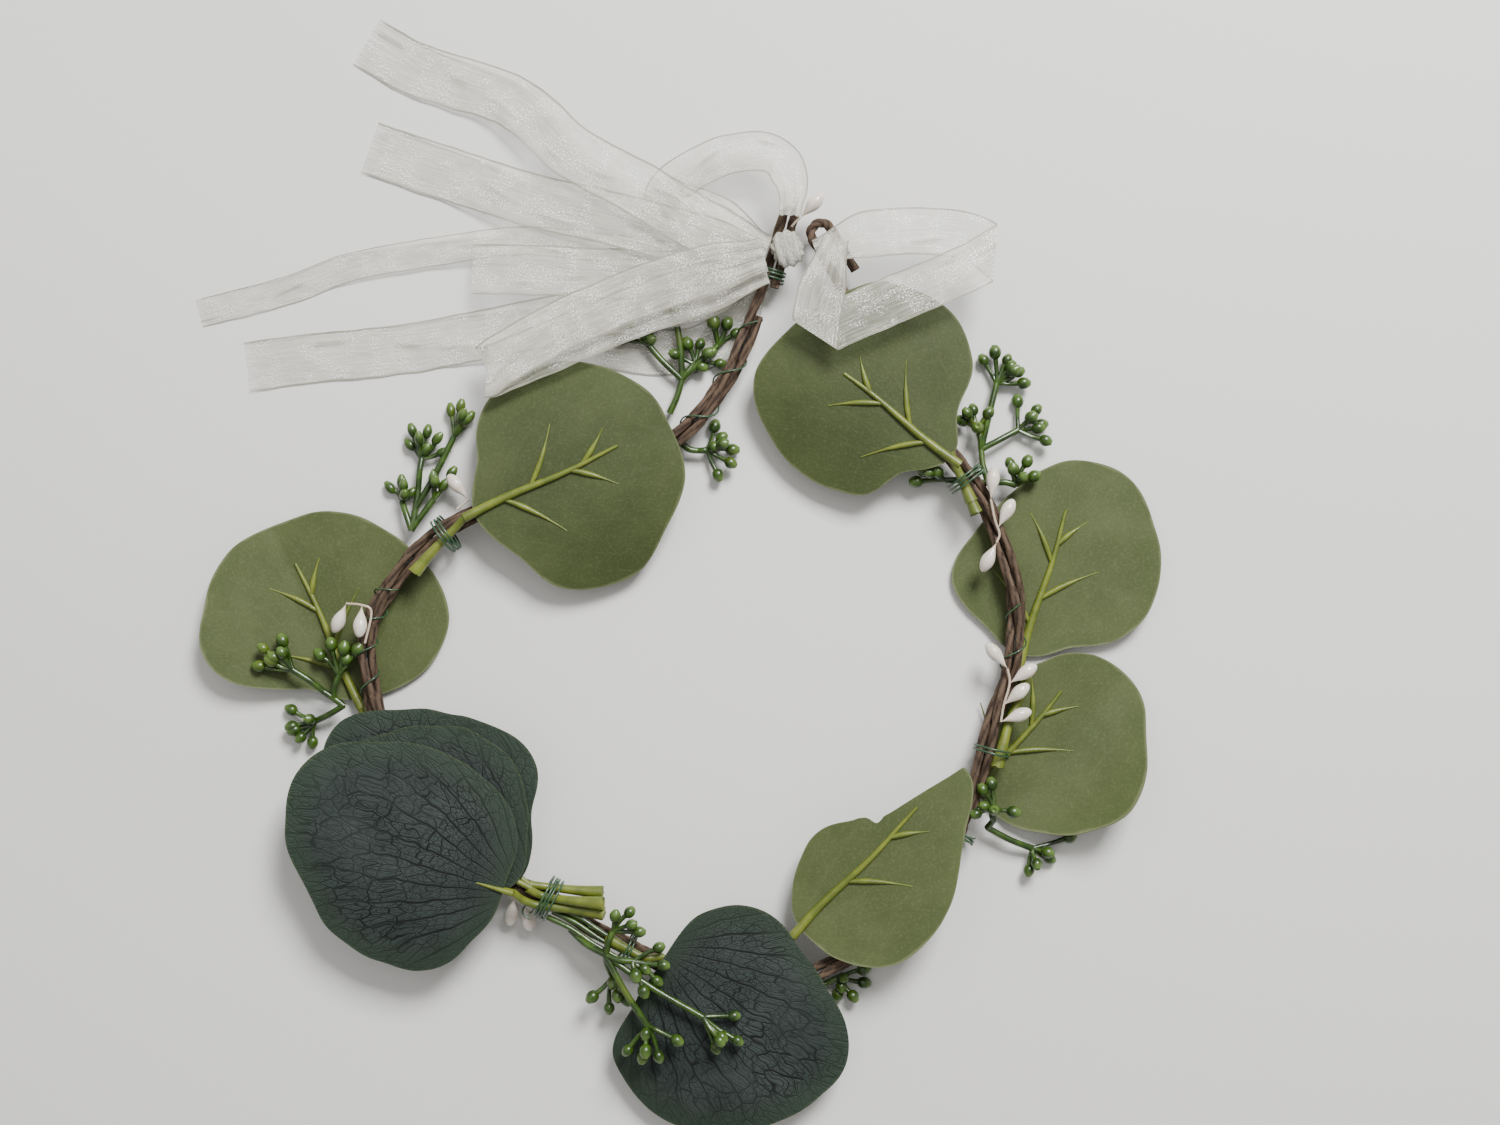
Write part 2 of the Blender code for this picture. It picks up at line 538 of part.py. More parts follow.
# ---------------------------------------------------------------- binding wire
# Each wrap: a place on the hoop, the wrap's centre off the hoop's (outwards, up), its radius and its turns.
WRAPS = {
    "top_left": ((-63.5, 11.2), -1.3, 1.3, 5.2, 3),
    "front": ((-36.0, -90.6), -0.7, 1.7, 5.9, 4),
    "bottom_left": ((-13.0, -104.6), -0.2, 1.7, 4.9, 2),
    "bottom": ((18.0, -114.0), -1.7, -1.25, 5.3, 2),
    "right_low": ((77.6, -72.6), 0.0, -1.3, 5.1, 2),
    "right_mid": ((85.4, -49.5), 1.45, 1.4, 5.0, 2),
    "top_right": ((80.6, 25.4), -0.9, 1.9, 5.3, 3),
}
WRAP_PITCH = 0.95


def add_wrap(name, centre, axis, across, radius, turns):
    up = axis.cross(across).normalized()
    steps = 10
    count = int(turns * steps)
    path = []
    for step in range(count + 1):
        angle = 2 * math.pi * step / steps
        shift = axis * WRAP_PITCH * (step / steps - turns / 2)
        path.append(centre + shift + across * radius * math.cos(angle) + up * radius * math.sin(angle))
    add_tube(name, path, WIRE_RADIUS, "wire", sides=4)


def make_wraps():
    frames = hoop_frames(1.0)
    for key, (near, out, rise, radius, turns) in WRAPS.items():
        centre, tangent, outward = min(frames, key=lambda f: (f[0].xy - Vector(near)).length)
        add_wrap(f"binding_wire_{key}", centre + outward * out + Vector((0, 0, rise)), tangent, outward,
                 radius, turns)
    axis = Vector((math.cos(math.radians(74)), math.sin(math.radians(74)), 0))
    across = Vector((axis.y, -axis.x, 0))
    add_wrap("binding_wire_eye", Vector((25.3, 77.5, HOOP_HEIGHT)) + axis * 4.0, axis, across, 3.6, 3)


# ---------------------------------------------------------------- ribbon
# Each piece: the route of its middle line, its full width, its gathered width at the knot, and 1 when
# both of its ends are at the knot.
RIBBONS = {
    "tail_upper": ([(24.6, 86.6, 12.8), (6.4, 94.6, 12.0), (-10.4, 105.0, 10.2), (-28.6, 115.4, 7.2),
                    (-39.8, 126.0, 4.6), (-49.6, 132.2, 2.4), (-69.2, 138.6, 0.8), (-78.0, 142.6, 0.3),
                    (-87.0, 147.8, 0.3)], 15.0, 5.0, 0),
    "tail_middle": ([(24.4, 85.4, 10.7), (3.6, 91.0, 9.7), (-18.8, 97.4, 7.3), (-38.4, 102.2, 4.4),
                     (-55.2, 107.8, 1.8), (-72.0, 113.4, 0.6), (-79.0, 115.8, 0.3), (-86.0, 118.2, 0.3)],
                    15.0, 5.0, 0),
    "tail_narrow": ([(22.4, 84.6, 7.5), (3.6, 86.2, 6.8), (-21.6, 89.6, 5.0), (-44.0, 91.6, 3.2),
                     (-66.4, 89.0, 1.8), (-91.6, 84.6, 0.8), (-108.4, 78.4, 0.3), (-133.6, 71.8, 0.3)],
                    8.0, 4.0, 0),
    "tail_short": ([(22.2, 85.8, 8.4), (6.4, 81.4, 8.2), (-16.0, 81.8, 7.1), (-35.6, 82.8, 6.5),
                    (-56.6, 83.4, 5.6)], 14.0, 5.0, 0),
    "tail_lower": ([(21.4, 86.2, 6.4), (6.4, 76.0, 5.9), (-13.2, 73.0, 5.6), (-32.8, 69.6, 4.2),
                    (-58.0, 65.0, 1.2), (-77.6, 61.6, 0.3), (-100.0, 59.4, 0.3), (-120.4, 56.8, 0.3)],
                   14.0, 4.0, 0),
    "loop_lower": ([(24.4, 83.0, 11.7), (6.4, 76.8, 11.3), (-13.2, 70.0, 11.3), (-30.0, 63.0, 11.3),
                    (-45.4, 56.6, 11.5), (-51.6, 54.2, 12.3), (-46.2, 58.2, 13.3), (-30.0, 67.2, 13.5),
                    (-10.4, 75.6, 13.6), (6.4, 81.2, 13.7), (24.2, 86.0, 13.8)], 14.0, 5.0, 1),
    "loop_upper": ([(24.6, 88.6, 9.8), (12.0, 97.4, 8.0), (-1.0, 102.6, 6.6), (-3.4, 104.2, 7.1),
                    (3.0, 109.4, 7.8), (15.0, 114.6, 9.0), (26.4, 114.2, 10.4), (31.8, 106.6, 12.4),
                    (31.4, 96.6, 14.2)], 11.0, 6.0, 1),
    "loop_right": ([(38.4, 86.8, 13.0), (52.0, 91.4, 14.0), (68.0, 92.4, 14.0), (80.6, 90.6, 14.4),
                    (87.0, 86.2, 15.6), (77.6, 81.0, 17.2), (60.0, 73.6, 17.2), (46.0, 67.6, 17.4),
                    (36.4, 62.6, 17.8), (37.0, 69.0, 18.8), (41.0, 80.0, 18.8), (43.8, 90.0, 17.6)], 13.0, 7.0, 1),
}


def strip_rings(path, widths):
    """Rectangular sections across the path, level from side to side."""
    rings = []
    across = None
    half = RIBBON_THICKNESS / 2
    for i, point in enumerate(path):
        ahead = path[min(i + 1, len(path) - 1)] - path[max(i - 1, 0)]
        level = Vector((-ahead.y, ahead.x, 0))
        if level.length > 0.35 * ahead.length:
            level.normalize()
            if across is not None and across.dot(level) < 0:
                level = -level
            across = level if across is None else (across + level * 2).normalized()
        upright = ahead.normalized().cross(across).normalized()
        side = across * widths[i] / 2
        rise = upright * half
        rings.append([point + side + rise, point - side + rise, point - side - rise, point + side - rise])
    return rings


def make_ribbons():
    for key, (points, wide, narrow, looped) in RIBBONS.items():
        path = smooth_path(points, 2)
        for point in path:
            point.z = max(point.z, RIBBON_THICKNESS / 2)
        last = len(path) - 1
        widths = []
        for i in range(len(path)):
            from_knot = min(i, last - i) if looped else i
            widths.append(narrow + (wide - narrow) * min(from_knot / 3, 1.0))
        solid_from_rings(f"ribbon_{key}", strip_rings(path, widths), "ribbon")
    shape = bmesh.new()
    bmesh.ops.create_icosphere(shape, subdivisions=2, radius=1.0)
    for vert in shape.verts:
        vert.co = place((30.6 + vert.co.x * 5.0, 88.0 + vert.co.y * 5.2, 11.6 + vert.co.z * 2.8))
    mesh = bpy.data.meshes.new("ribbon_knot")
    shape.to_mesh(mesh)
    shape.free()
    add_object("ribbon_knot", mesh, "ribbon")


def main():
    clear_scene()
    make_hoop()
    make_leaves()
    make_sprays()
    make_buds()
    make_wraps()
    make_ribbons()


main()
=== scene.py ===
import math
import random
import bpy
from mathutils import Matrix, Vector, noise


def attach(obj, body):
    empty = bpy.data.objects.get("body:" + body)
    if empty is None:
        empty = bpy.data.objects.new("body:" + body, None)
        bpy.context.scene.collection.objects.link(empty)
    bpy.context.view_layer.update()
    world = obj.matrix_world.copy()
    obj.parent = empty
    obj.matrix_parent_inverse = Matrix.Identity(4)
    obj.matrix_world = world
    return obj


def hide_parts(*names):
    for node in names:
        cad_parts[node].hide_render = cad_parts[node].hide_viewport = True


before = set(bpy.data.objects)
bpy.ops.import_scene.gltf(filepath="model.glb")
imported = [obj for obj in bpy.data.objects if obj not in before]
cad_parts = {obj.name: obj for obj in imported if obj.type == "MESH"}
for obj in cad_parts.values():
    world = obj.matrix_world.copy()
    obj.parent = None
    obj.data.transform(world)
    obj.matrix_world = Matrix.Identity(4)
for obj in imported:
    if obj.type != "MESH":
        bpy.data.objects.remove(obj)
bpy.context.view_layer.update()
crownShift = Vector((0.03, 0.45, 0.0))    # mm, puts the crown's footprint on the origin
print("frame loaded:", len(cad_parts), "nodes")


# small helpers
def at(x, y, z=0.0):
    return (Vector((x, y, z)) + crownShift) / 1000


def curveBetween(a, b, c, d, t):    # t runs 0..1 from b to c
    return 0.5 * (2 * b + (c - a) * t + (2 * a - 5 * b + 4 * c - d) * t * t
                  + (3 * b - a - 3 * c + d) * t ** 3)


def smoothPath(points, steps):
    knots = [Vector(p) for p in points]
    knots = [2 * knots[0] - knots[1]] + knots + [2 * knots[-1] - knots[-2]]
    path = []
    for a, b, c, d in zip(knots, knots[1:], knots[2:], knots[3:]):
        for step in range(steps):
            path.append(curveBetween(a, b, c, d, step / steps))
    return path + [knots[-2]]


def blendTo(low, high, value):    # 0 below low, 1 above high, smooth between
    t = min(max((value - low) / (high - low), 0.0), 1.0)
    return t * t * (3 - 2 * t)


def clearSelection():
    bpy.ops.object.select_all(action="DESELECT")


def selectOnly(piece):
    clearSelection()
    bpy.context.view_layer.objects.active = piece
    piece.select_set(True)


def applied(piece, kind, **settings):
    selectOnly(piece)
    change = piece.modifiers.new(kind.lower(), kind)
    for key, value in settings.items():
        setattr(change, key, value)
    bpy.ops.object.modifier_apply(modifier=change.name)


def joined(name, parts):
    clearSelection()
    for part in parts:
        part.select_set(True)
    bpy.context.view_layer.objects.active = parts[0]
    if len(parts) > 1:
        bpy.ops.object.join()
    parts[0].name = name
    return parts[0]


def smoothed(piece, degrees=50):
    selectOnly(piece)
    bpy.ops.object.shade_smooth_by_angle(angle=math.radians(degrees))


def tubeAlong(name, path, radius, sides=10, ends=1.0):
    # radius in mm; ends is a number or a rule giving the share of it at 0..1 along
    clearSelection()
    bpy.ops.curve.primitive_nurbs_path_add(location=(0, 0, 0))
    tube = bpy.context.object
    tube.name = name
    line = tube.data
    line.splines.clear()
    spline = line.splines.new("POLY")
    spline.points.add(len(path) - 1)
    for index, point in enumerate(path):
        spline.points[index].co = (*at(*point), 1.0)
        share = index / (len(path) - 1)
        spline.points[index].radius = ends(share) if callable(ends) else 1 + (ends - 1) * share
    line.bevel_depth = radius / 1000
    line.bevel_resolution = sides // 2 - 2
    line.use_fill_caps = True
    bpy.ops.object.convert(target="MESH")
    bpy.ops.object.mode_set(mode="EDIT")
    bpy.ops.mesh.select_all(action="SELECT")
    bpy.ops.mesh.remove_doubles(threshold=1e-6)
    bpy.ops.object.mode_set(mode="OBJECT")
    return bpy.context.object


def flatMap(mesh, name, places):    # one place on the flat cloth for each vertex
    mesh.uv_layers[0].name = name
    for loop in mesh.loops:
        mesh.uv_layers[name].data[loop.index].uv = places[loop.vertex_index]


def copied(master, name, matrix):
    copy = bpy.data.objects.new(name, master.data.copy())
    bpy.context.scene.collection.objects.link(copy)
    copy.data.transform(matrix)
    return copy


def pointing(start, end, sideScale=1.0, lengthScale=1.0):
    # a matrix that puts a master's +Z along start to end, with its origin at start
    along = end - start
    turn = along.to_track_quat("Z", "Y").to_matrix().to_4x4()
    return Matrix.Translation(start) @ turn @ Matrix.Diagonal((sideScale, sideScale, lengthScale, 1))


def dress(piece, finish, body, nodes=()):
    piece.data.materials.clear()
    piece.data.materials.append(finish)
    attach(piece, body)
    if nodes:
        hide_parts(*nodes)
    return piece


def finished(name, parts, degrees, finish, body, nodes=()):
    piece = joined(name, parts)
    smoothed(piece, degrees)
    return dress(piece, finish, body, nodes)


def gridPiece(name, columns, rows):    # a flat grid from -1 to 1 both ways, to be bent into shape
    clearSelection()
    bpy.ops.mesh.primitive_grid_add(x_subdivisions=columns, y_subdivisions=rows, size=2, location=(0, 0, 0))
    bpy.context.object.name = name
    return bpy.context.object


def facedAlike(piece, closed=False):    # closed also merges the edges that meet
    selectOnly(piece)
    bpy.ops.object.mode_set(mode="EDIT")
    bpy.ops.mesh.select_all(action="SELECT")
    if closed:
        bpy.ops.mesh.remove_doubles(threshold=1e-6)
    bpy.ops.mesh.normals_make_consistent(inside=False)
    bpy.ops.object.mode_set(mode="OBJECT")


# finishes
class Finish:
    def __init__(self, name, colour, roughness, **sockets):
        self.material = bpy.data.materials.new(name)
        self.material.use_nodes = True
        self.tree = self.material.node_tree
        self.shader = self.tree.nodes["Principled BSDF"]
        self.shader.inputs["Base Color"].default_value = (*colour, 1)
        self.shader.inputs["Roughness"].default_value = roughness
        for key, value in sockets.items():
            self.shader.inputs[key.replace("_", " ")].default_value = value

    def node(self, kind, values=None, **settings):
        made = self.tree.nodes.new("ShaderNode" + kind)
        for key, value in settings.items():
            setattr(made, key, value)
        for key, value in (values or {}).items():
            if isinstance(value, bpy.types.NodeSocket):
                self.tree.links.new(value, made.inputs[key])
            else:
                made.inputs[key].default_value = value
        return made

    def maths(self, operation, first, second=0.0, third=0.0):
        return self.node("Math", {0: first, 1: second, 2: third}, operation=operation).outputs[0]

    def times(self, first, second):
        return self.maths("MULTIPLY", first, second)

    def plus(self, first, second):
        return self.maths("ADD", first, second)

    def less(self, first, second):
        return self.maths("SUBTRACT", first, second)

    def mix(self, share, first, second):
        made = self.node("Mix", {0: share}, data_type="RGBA")
        for key, value in ((6, first), (7, second)):
            if isinstance(value, bpy.types.NodeSocket):
                self.tree.links.new(value, made.inputs[key])
            else:
                made.inputs[key].default_value = (*value, 1)
        return made.outputs[2]

    def patches(self, scale, low, high, dark, light):    # two colours in soft patches
        return self.mix(self.ramp(self.noise(scale, 4), low, high), dark, light)

    def ramp(self, value, low, high):
        made = self.node("MapRange", {0: value, 1: low, 2: high}, interpolation_type="SMOOTHSTEP")
        return made.outputs[0]

    def noise(self, scale, detail=3.0, vector=None, roughness=0.5):
        values = {"Scale": scale, "Detail": detail, "Roughness": roughness}
        values["Vector"] = vector or self.objectPlace()
        return self.node("TexNoise", values).outputs[0]

    def objectPlace(self):
        return self.node("TexCoord").outputs["Object"]

    def attribute(self, name):
        return self.node("Attribute", attribute_name=name).outputs["Fac"]

    def to(self, socket, value):
        self.tree.links.new(value, self.shader.inputs[socket])

    def roughBy(self, value, low, high):    # roughness runs from low to high with the value
        self.to("Roughness", self.node("MapRange", {0: value, 3: low, 4: high}).outputs[0])

    def bump(self, height, strength, distance):
        made = self.node("Bump", {"Strength": strength, "Distance": distance / 1000, "Height": height})
        self.to("Normal", made.outputs[0])


def leafFinish(name, colours, look):
    # veins are drawn in the leaf's own plane: the UV map holds u, v from the base, in blade["mapUnit"]
    cell, cellOther, vein, rim = colours
    made = Finish(name, cell, look["roughness"], Specular_IOR_Level=look["shine"])
    place = made.node("SeparateXYZ", {0: made.node("UVMap", uv_map="leafPlane").outputs[0]})
    u, v = place.outputs[0], place.outputs[1]
    wander = made.times(made.less(made.noise(90, 2), 0.5), look["wander"])
    forward = made.plus(u, 0.05)
    turn = made.maths("ARCTAN2", v, forward)
    squared = made.plus(made.times(forward, forward), made.times(v, v))
    radius = made.maths("POWER", squared, 0.5)
    # side veins leave the midrib and bow outwards, so the fan is turned back a little with distance
    bowed = made.times(turn, made.plus(made.times(radius, 0.35), 0.75))
    depth = made.maths("LOGARITHM", made.plus(radius, 0.06), math.e)
    across = made.plus(made.times(bowed, look["fan"]), wander)
    along = made.plus(made.times(depth, look["fan"] * 0.42), made.times(wander, 1.2))
    fan = made.node("CombineXYZ", {0: across, 1: along}).outputs[0]
    lines = []
    nets = ((1.3, 0.085, 1.0), (2.6, 0.11, look["fine"]), (5.2, 0.13, look["fine"] * 0.65))
    for scale, width, strength in nets:
        cells = made.node("TexVoronoi", {"Vector": fan, "Scale": scale},
                          feature="DISTANCE_TO_EDGE", voronoi_dimensions="2D")
        lines.append(made.times(made.ramp(cells.outputs["Distance"], width, width * 0.15), strength))
    spokes = made.maths("ABSOLUTE", made.maths("SINE", made.times(across, math.pi * 0.5)))
    main = made.ramp(spokes, veinWidth(made, radius), 0.0)
    main = made.times(main, made.ramp(radius, 1.15, 0.4))
    net = lines[0]
    for line in lines[1:]:
        net = made.maths("MAXIMUM", net, line)
    patchy = made.plus(made.times(made.ramp(made.noise(60, 3), 0.3, 0.65), 0.5), 0.5)
    net = made.times(made.maths("MAXIMUM", made.times(net, patchy), main), look["veins"])
    edge = made.attribute("rimShare")
    mottle = made.ramp(made.noise(55, 5, roughness=0.6), 0.35, 0.68)
    body = made.mix(mottle, cell, cellOther)
    speck = made.ramp(made.noise(1400, 4), 0.48, 0.72)
    body = made.mix(made.times(speck, look["speck"]), body, rim)
    body = made.mix(net, body, vein)
    darkEdge = made.times(made.ramp(edge, 0.7, 1.0), look["edgeShade"])
    body = made.mix(darkEdge, body, look["edgeColour"])
    wear = made.plus(edge, made.times(made.less(made.noise(160, 3), 0.5), 0.05))
    made.to("Base Color", made.mix(made.times(made.ramp(wear, 0.975, 1.0), look["rim"]), body, rim))
    height = made.plus(made.times(net, look["relief"]), made.times(made.noise(300, 4), 0.35))
    made.bump(height, 0.45, 0.35)
    made.roughBy(made.noise(240, 3), look["roughness"] - 0.1, look["roughness"] + 0.12)
    return made.material


def veinWidth(made, radius):    # main veins thin out with distance from the base
    return made.plus(made.times(made.ramp(radius, 1.0, 0.05), 0.42), 0.12)


# wander bends the veins, fan is how many spread from the base, fine is how strong the net between them is
paleLook = {"roughness": 0.62, "shine": 0.25, "wander": 0.7, "fan": 9.0, "fine": 0.4, "veins": 0.2,
            "speck": 0.22, "rim": 0.7, "relief": 0.5, "edgeShade": 0.12, "edgeColour": (0.07, 0.1, 0.03)}
darkLook = {"roughness": 0.6, "shine": 0.22, "wander": 1.7, "fan": 12.0, "fine": 0.8, "veins": 1.0,
            "speck": 0.05, "rim": 0.35, "relief": -0.9, "edgeShade": 0.7, "edgeColour": (0.022, 0.038, 0.022)}
# colours of the cloth, its lighter patches, its veins and its cut rim
leafColours = {
    "pale": ((0.05, 0.066, 0.02), (0.067, 0.084, 0.028), (0.084, 0.1, 0.036), (0.15, 0.165, 0.08)),
    "dull": ((0.034, 0.046, 0.013), (0.046, 0.06, 0.018), (0.06, 0.075, 0.025), (0.12, 0.135, 0.06)),
    "dark": ((0.021, 0.03, 0.027), (0.033, 0.044, 0.04), (0.0015, 0.003, 0.0025), (0.055, 0.072, 0.034))}
paleLeaf = leafFinish("paleLeafCloth", leafColours["pale"], paleLook)
dullLeaf = leafFinish("dullLeafCloth", leafColours["dull"], paleLook)
darkLeaf = leafFinish("darkLeafCloth", leafColours["dark"], darkLook)


def ribFinish():
    made = Finish("waxyRib", (0.15, 0.19, 0.02), 0.4, Subsurface_Weight=0.1, Coat_Weight=0.08)
    made.shader.inputs["Subsurface Scale"].default_value = 0.001
    made.to("Base Color", made.patches(180, 0.35, 0.7, (0.085, 0.112, 0.01), (0.155, 0.185, 0.018)))
    made.roughBy(made.noise(500, 3), 0.34, 0.55)
    made.bump(made.noise(900, 3), 0.25, 0.12)
    return made.material


def vineFinish():
    made = Finish("vinePaper", (0.09, 0.05, 0.035), 0.78, Specular_IOR_Level=0.3)
    ridge = made.attribute("ridge")
    patches = made.ramp(made.noise(150, 5, roughness=0.65), 0.3, 0.7)
    body = made.mix(patches, (0.05, 0.03, 0.018), (0.105, 0.068, 0.043))
    # painted shade: the grooves between the ridges are darkened
    body = made.mix(made.ramp(ridge, 0.55, 0.0), body, (0.02, 0.011, 0.007))
    # painted highlight: the ridge crests are lightened
    body = made.mix(made.times(made.ramp(ridge, 0.75, 1.0), 0.4), body, (0.17, 0.12, 0.085))
    made.to("Base Color", body)
    made.roughBy(made.noise(700, 3), 0.65, 0.9)
    fibres = made.noise(1800, 4, roughness=0.7)
    made.bump(made.plus(made.times(ridge, 0.6), fibres), 0.5, 0.18)
    return made.material


def berryFinish():
    made = Finish("lacqueredBerry", (0.02, 0.055, 0.004), 0.3, Coat_Weight=0.15)
    tip = made.attribute("tipShare")
    body = made.patches(260, 0.35, 0.7, (0.012, 0.032, 0.002), (0.036, 0.08, 0.005))
    yellow = made.ramp(made.noise(75, 2), 0.58, 0.72)
    body = made.mix(made.times(yellow, 0.45), body, (0.12, 0.17, 0.015))
    paleTip = made.times(made.ramp(tip, 0.45, 0.95), 0.7)
    made.to("Base Color", made.mix(paleTip, body, (0.1, 0.17, 0.035)))
    made.roughBy(made.noise(600, 3), 0.18, 0.42)
    made.bump(made.noise(1300, 3), 0.3, 0.12)
    return made.material


def budFinish():
    made = Finish("pearlBud", (0.78, 0.72, 0.64), 0.3, Coat_Weight=0.5, Subsurface_Weight=0.2)
    made.shader.inputs["Subsurface Scale"].default_value = 0.001
    tip = made.attribute("tipShare")
    body = made.patches(320, 0.3, 0.75, (0.6, 0.53, 0.45), (0.73, 0.68, 0.6))
    made.to("Base Color", made.mix(made.ramp(tip, 0.35, 0.0), body, (0.5, 0.41, 0.32)))
    made.roughBy(made.noise(800, 3), 0.22, 0.4)
    made.bump(made.noise(1500, 3), 0.2, 0.08)
    return made.material


def wireFinish(name, dark, light, roughness):
    made = Finish(name, dark, roughness, Coat_Weight=0.3)
    made.to("Base Color", made.patches(420, 0.35, 0.7, dark, light))
    made.roughBy(made.noise(900, 3), roughness - 0.1, roughness + 0.15)
    made.bump(made.noise(2600, 3), 0.35, 0.08)
    return made.material


def organzaFinish(name, opacity):
    # in the UV map, across runs 0..1 over the width, and along is in ribbonMake["clothWidth"]
    made = Finish(name, (0.8, 0.78, 0.7), 0.38, Specular_IOR_Level=0.7)
    cloth = made.node("UVMap", uv_map="cloth").outputs[0]
    across = made.node("SeparateXYZ", {0: cloth}).outputs[1]
    gather, fray = made.attribute("gather"), made.attribute("fray")
    fromEdge = made.maths("MINIMUM", across, made.less(1.0, across))
    # darker lines: the selvage's own edge threads, and painted shade along the creases
    crease = made.times(made.attribute("crease"), 0.7)
    selvageAndCreaseShade = made.maths("MAXIMUM", made.ramp(fromEdge, 0.045, 0.03), crease)
    longWeave = made.node("Mapping", {"Vector": cloth, "Scale": (1.4, 26.0, 1.0)}).outputs[0]
    streak = made.noise(1.0, 5, longWeave, 0.6)
    crumple = made.noise(1.6, 4, cloth, 0.55)
    # painted highlights: small specks that stand in for glints of light on the weave
    paintedGlintSpots = made.ramp(made.noise(34.0, 2, cloth), 0.55, 0.61)
    paintedGlintFields = made.ramp(made.noise(2.4, 3, cloth), 0.42, 0.58)
    paintedGlints = made.times(paintedGlintSpots, paintedGlintFields)
    solid = made.plus(opacity, made.times(made.less(streak, 0.5), 0.34))
    solid = made.plus(solid, made.times(made.less(crumple, 0.5), 0.5))
    solid = made.plus(solid, made.times(selvageAndCreaseShade, 0.4))
    solid = made.plus(solid, made.times(gather, 0.3))
    solid = made.plus(solid, made.times(paintedGlints, 0.5))
    looseWeave = made.node("Mapping", {"Vector": cloth, "Scale": (1.0, 70.0, 1.0)}).outputs[0]
    threads = made.ramp(made.noise(1.0, 2, looseWeave), 0.44, 0.56)
    solid = made.times(solid, made.less(1.0, made.times(fray, threads)))
    made.to("Alpha", made.node("Clamp", {0: solid, 1: 0.02, 2: 1.0}).outputs[0])
    body = made.mix(made.ramp(streak, 0.3, 0.7), (0.4, 0.39, 0.31), (0.68, 0.665, 0.56))
    # the painted highlights turn the colour near white
    body = made.mix(paintedGlints, body, (1.0, 1.0, 0.98))
    # the colour darkens at the selvage threads, and painted shade darkens it along the creases
    made.to("Base Color", made.mix(made.times(selvageAndCreaseShade, 0.85), body, (0.2, 0.19, 0.14)))
    made.roughBy(paintedGlints, 0.45, 0.1)
    height = made.plus(made.times(streak, made.plus(made.times(gather, 1.6), 0.35)),
                        made.times(crumple, 0.8))
    made.bump(height, 0.6, 0.9)
    return made.material


waxyRib = ribFinish()
vinePaper = vineFinish()
lacqueredBerry = berryFinish()
pearlBud = budFinish()
greenWire = wireFinish("greenWire", (0.012, 0.045, 0.018), (0.03, 0.085, 0.03), 0.4)
coreWire = wireFinish("coreWire", (0.32, 0.32, 0.33), (0.45, 0.45, 0.46), 0.38)
coreWire.node_tree.nodes["Principled BSDF"].inputs["Metallic"].default_value = 1.0
organza = organzaFinish("organza", 0.4)
knotOrganza = organzaFinish("knotOrganza", 0.4)
print("finishes ready")

# the hoop: three twisted paper-wrapped strands, the first bent back into an eye at each end
hoop = {
    "height": 7.0, "spacing": 1.5, "bare": 6, "start": 9.5, "strandRadius": 1.12, "orbit": 1.6,
    "pitch": 84.0, "eyeRadius": 1.3, "ridges": 3, "twist": 0.95, "ridgeDepth": 0.28, "roughDepth": 0.1,
    "points": [
        (26.0, 78.4), (19.0, 63.0), (10.6, 47.6), (2.2, 38.4), (-10.4, 30.8), (-27.2, 25.2), (-44.0, 19.6),
        (-58.0, 14.6), (-70.6, 5.6), (-79.8, -5.6), (-85.4, -19.6), (-83.7, -35.0), (-77.6, -53.2),
        (-66.4, -70.0), (-52.4, -82.6), (-37.0, -90.0), (-21.6, -99.4), (-6.2, -107.8), (12.0, -113.4),
        (31.6, -113.4), (48.4, -106.4), (65.2, -92.4), (76.4, -75.6), (82.6, -58.8), (87.6, -42.0),
        (92.7, -25.2), (94.1, -11.2), (91.3, 2.8), (86.2, 16.8), (77.8, 29.4), (66.6, 44.8), (56.8, 61.6),
        (48.4, 78.4)],
    "leftEye": ((25.3, 77.5), 74.0, 22.5, 3.1), "rightEye": ((47.6, 80.5), 121.0, 17.5, 5.8)}


def hoopFrames(spacing):
    fine = smoothPath([(x, y, hoop["height"]) for x, y in hoop["points"]], 12)
    lengths = [0.0]
    for a, b in zip(fine, fine[1:]):
        lengths.append(lengths[-1] + (b - a).length)
    count = round(lengths[-1] / spacing)
    frames = []
    k = 0
    for i in range(count + 1):
        target = lengths[-1] * i / count
        while k < len(fine) - 2 and lengths[k + 1] < target:
            k += 1
        part = (target - lengths[k]) / (lengths[k + 1] - lengths[k])
        ahead = (fine[k + 1] - fine[k]).normalized()
        frames.append((fine[k].lerp(fine[k + 1], part), ahead, Vector((ahead.y, -ahead.x, 0.0)), target))
    return frames


def eyePath(root, heading, length, width):
    along = Vector((math.cos(math.radians(heading)), math.sin(math.radians(heading)), 0))
    across = Vector((-along.y, along.x, 0)) * width / 2
    start = Vector((*root, hoop["height"]))
    straight = length - width / 2
    path = [start + across, start + across + along * straight * 0.5, start + across + along * straight * 0.85]
    for step in range(5):
        angle = math.pi * step / 4
        path.append(start + across * math.cos(angle) + along * (straight + width / 2 * math.sin(angle)))
    path += [start - across + along * straight * 0.85, start - across + along * straight * 0.5,
             start - across + along * 1.0]
    return path


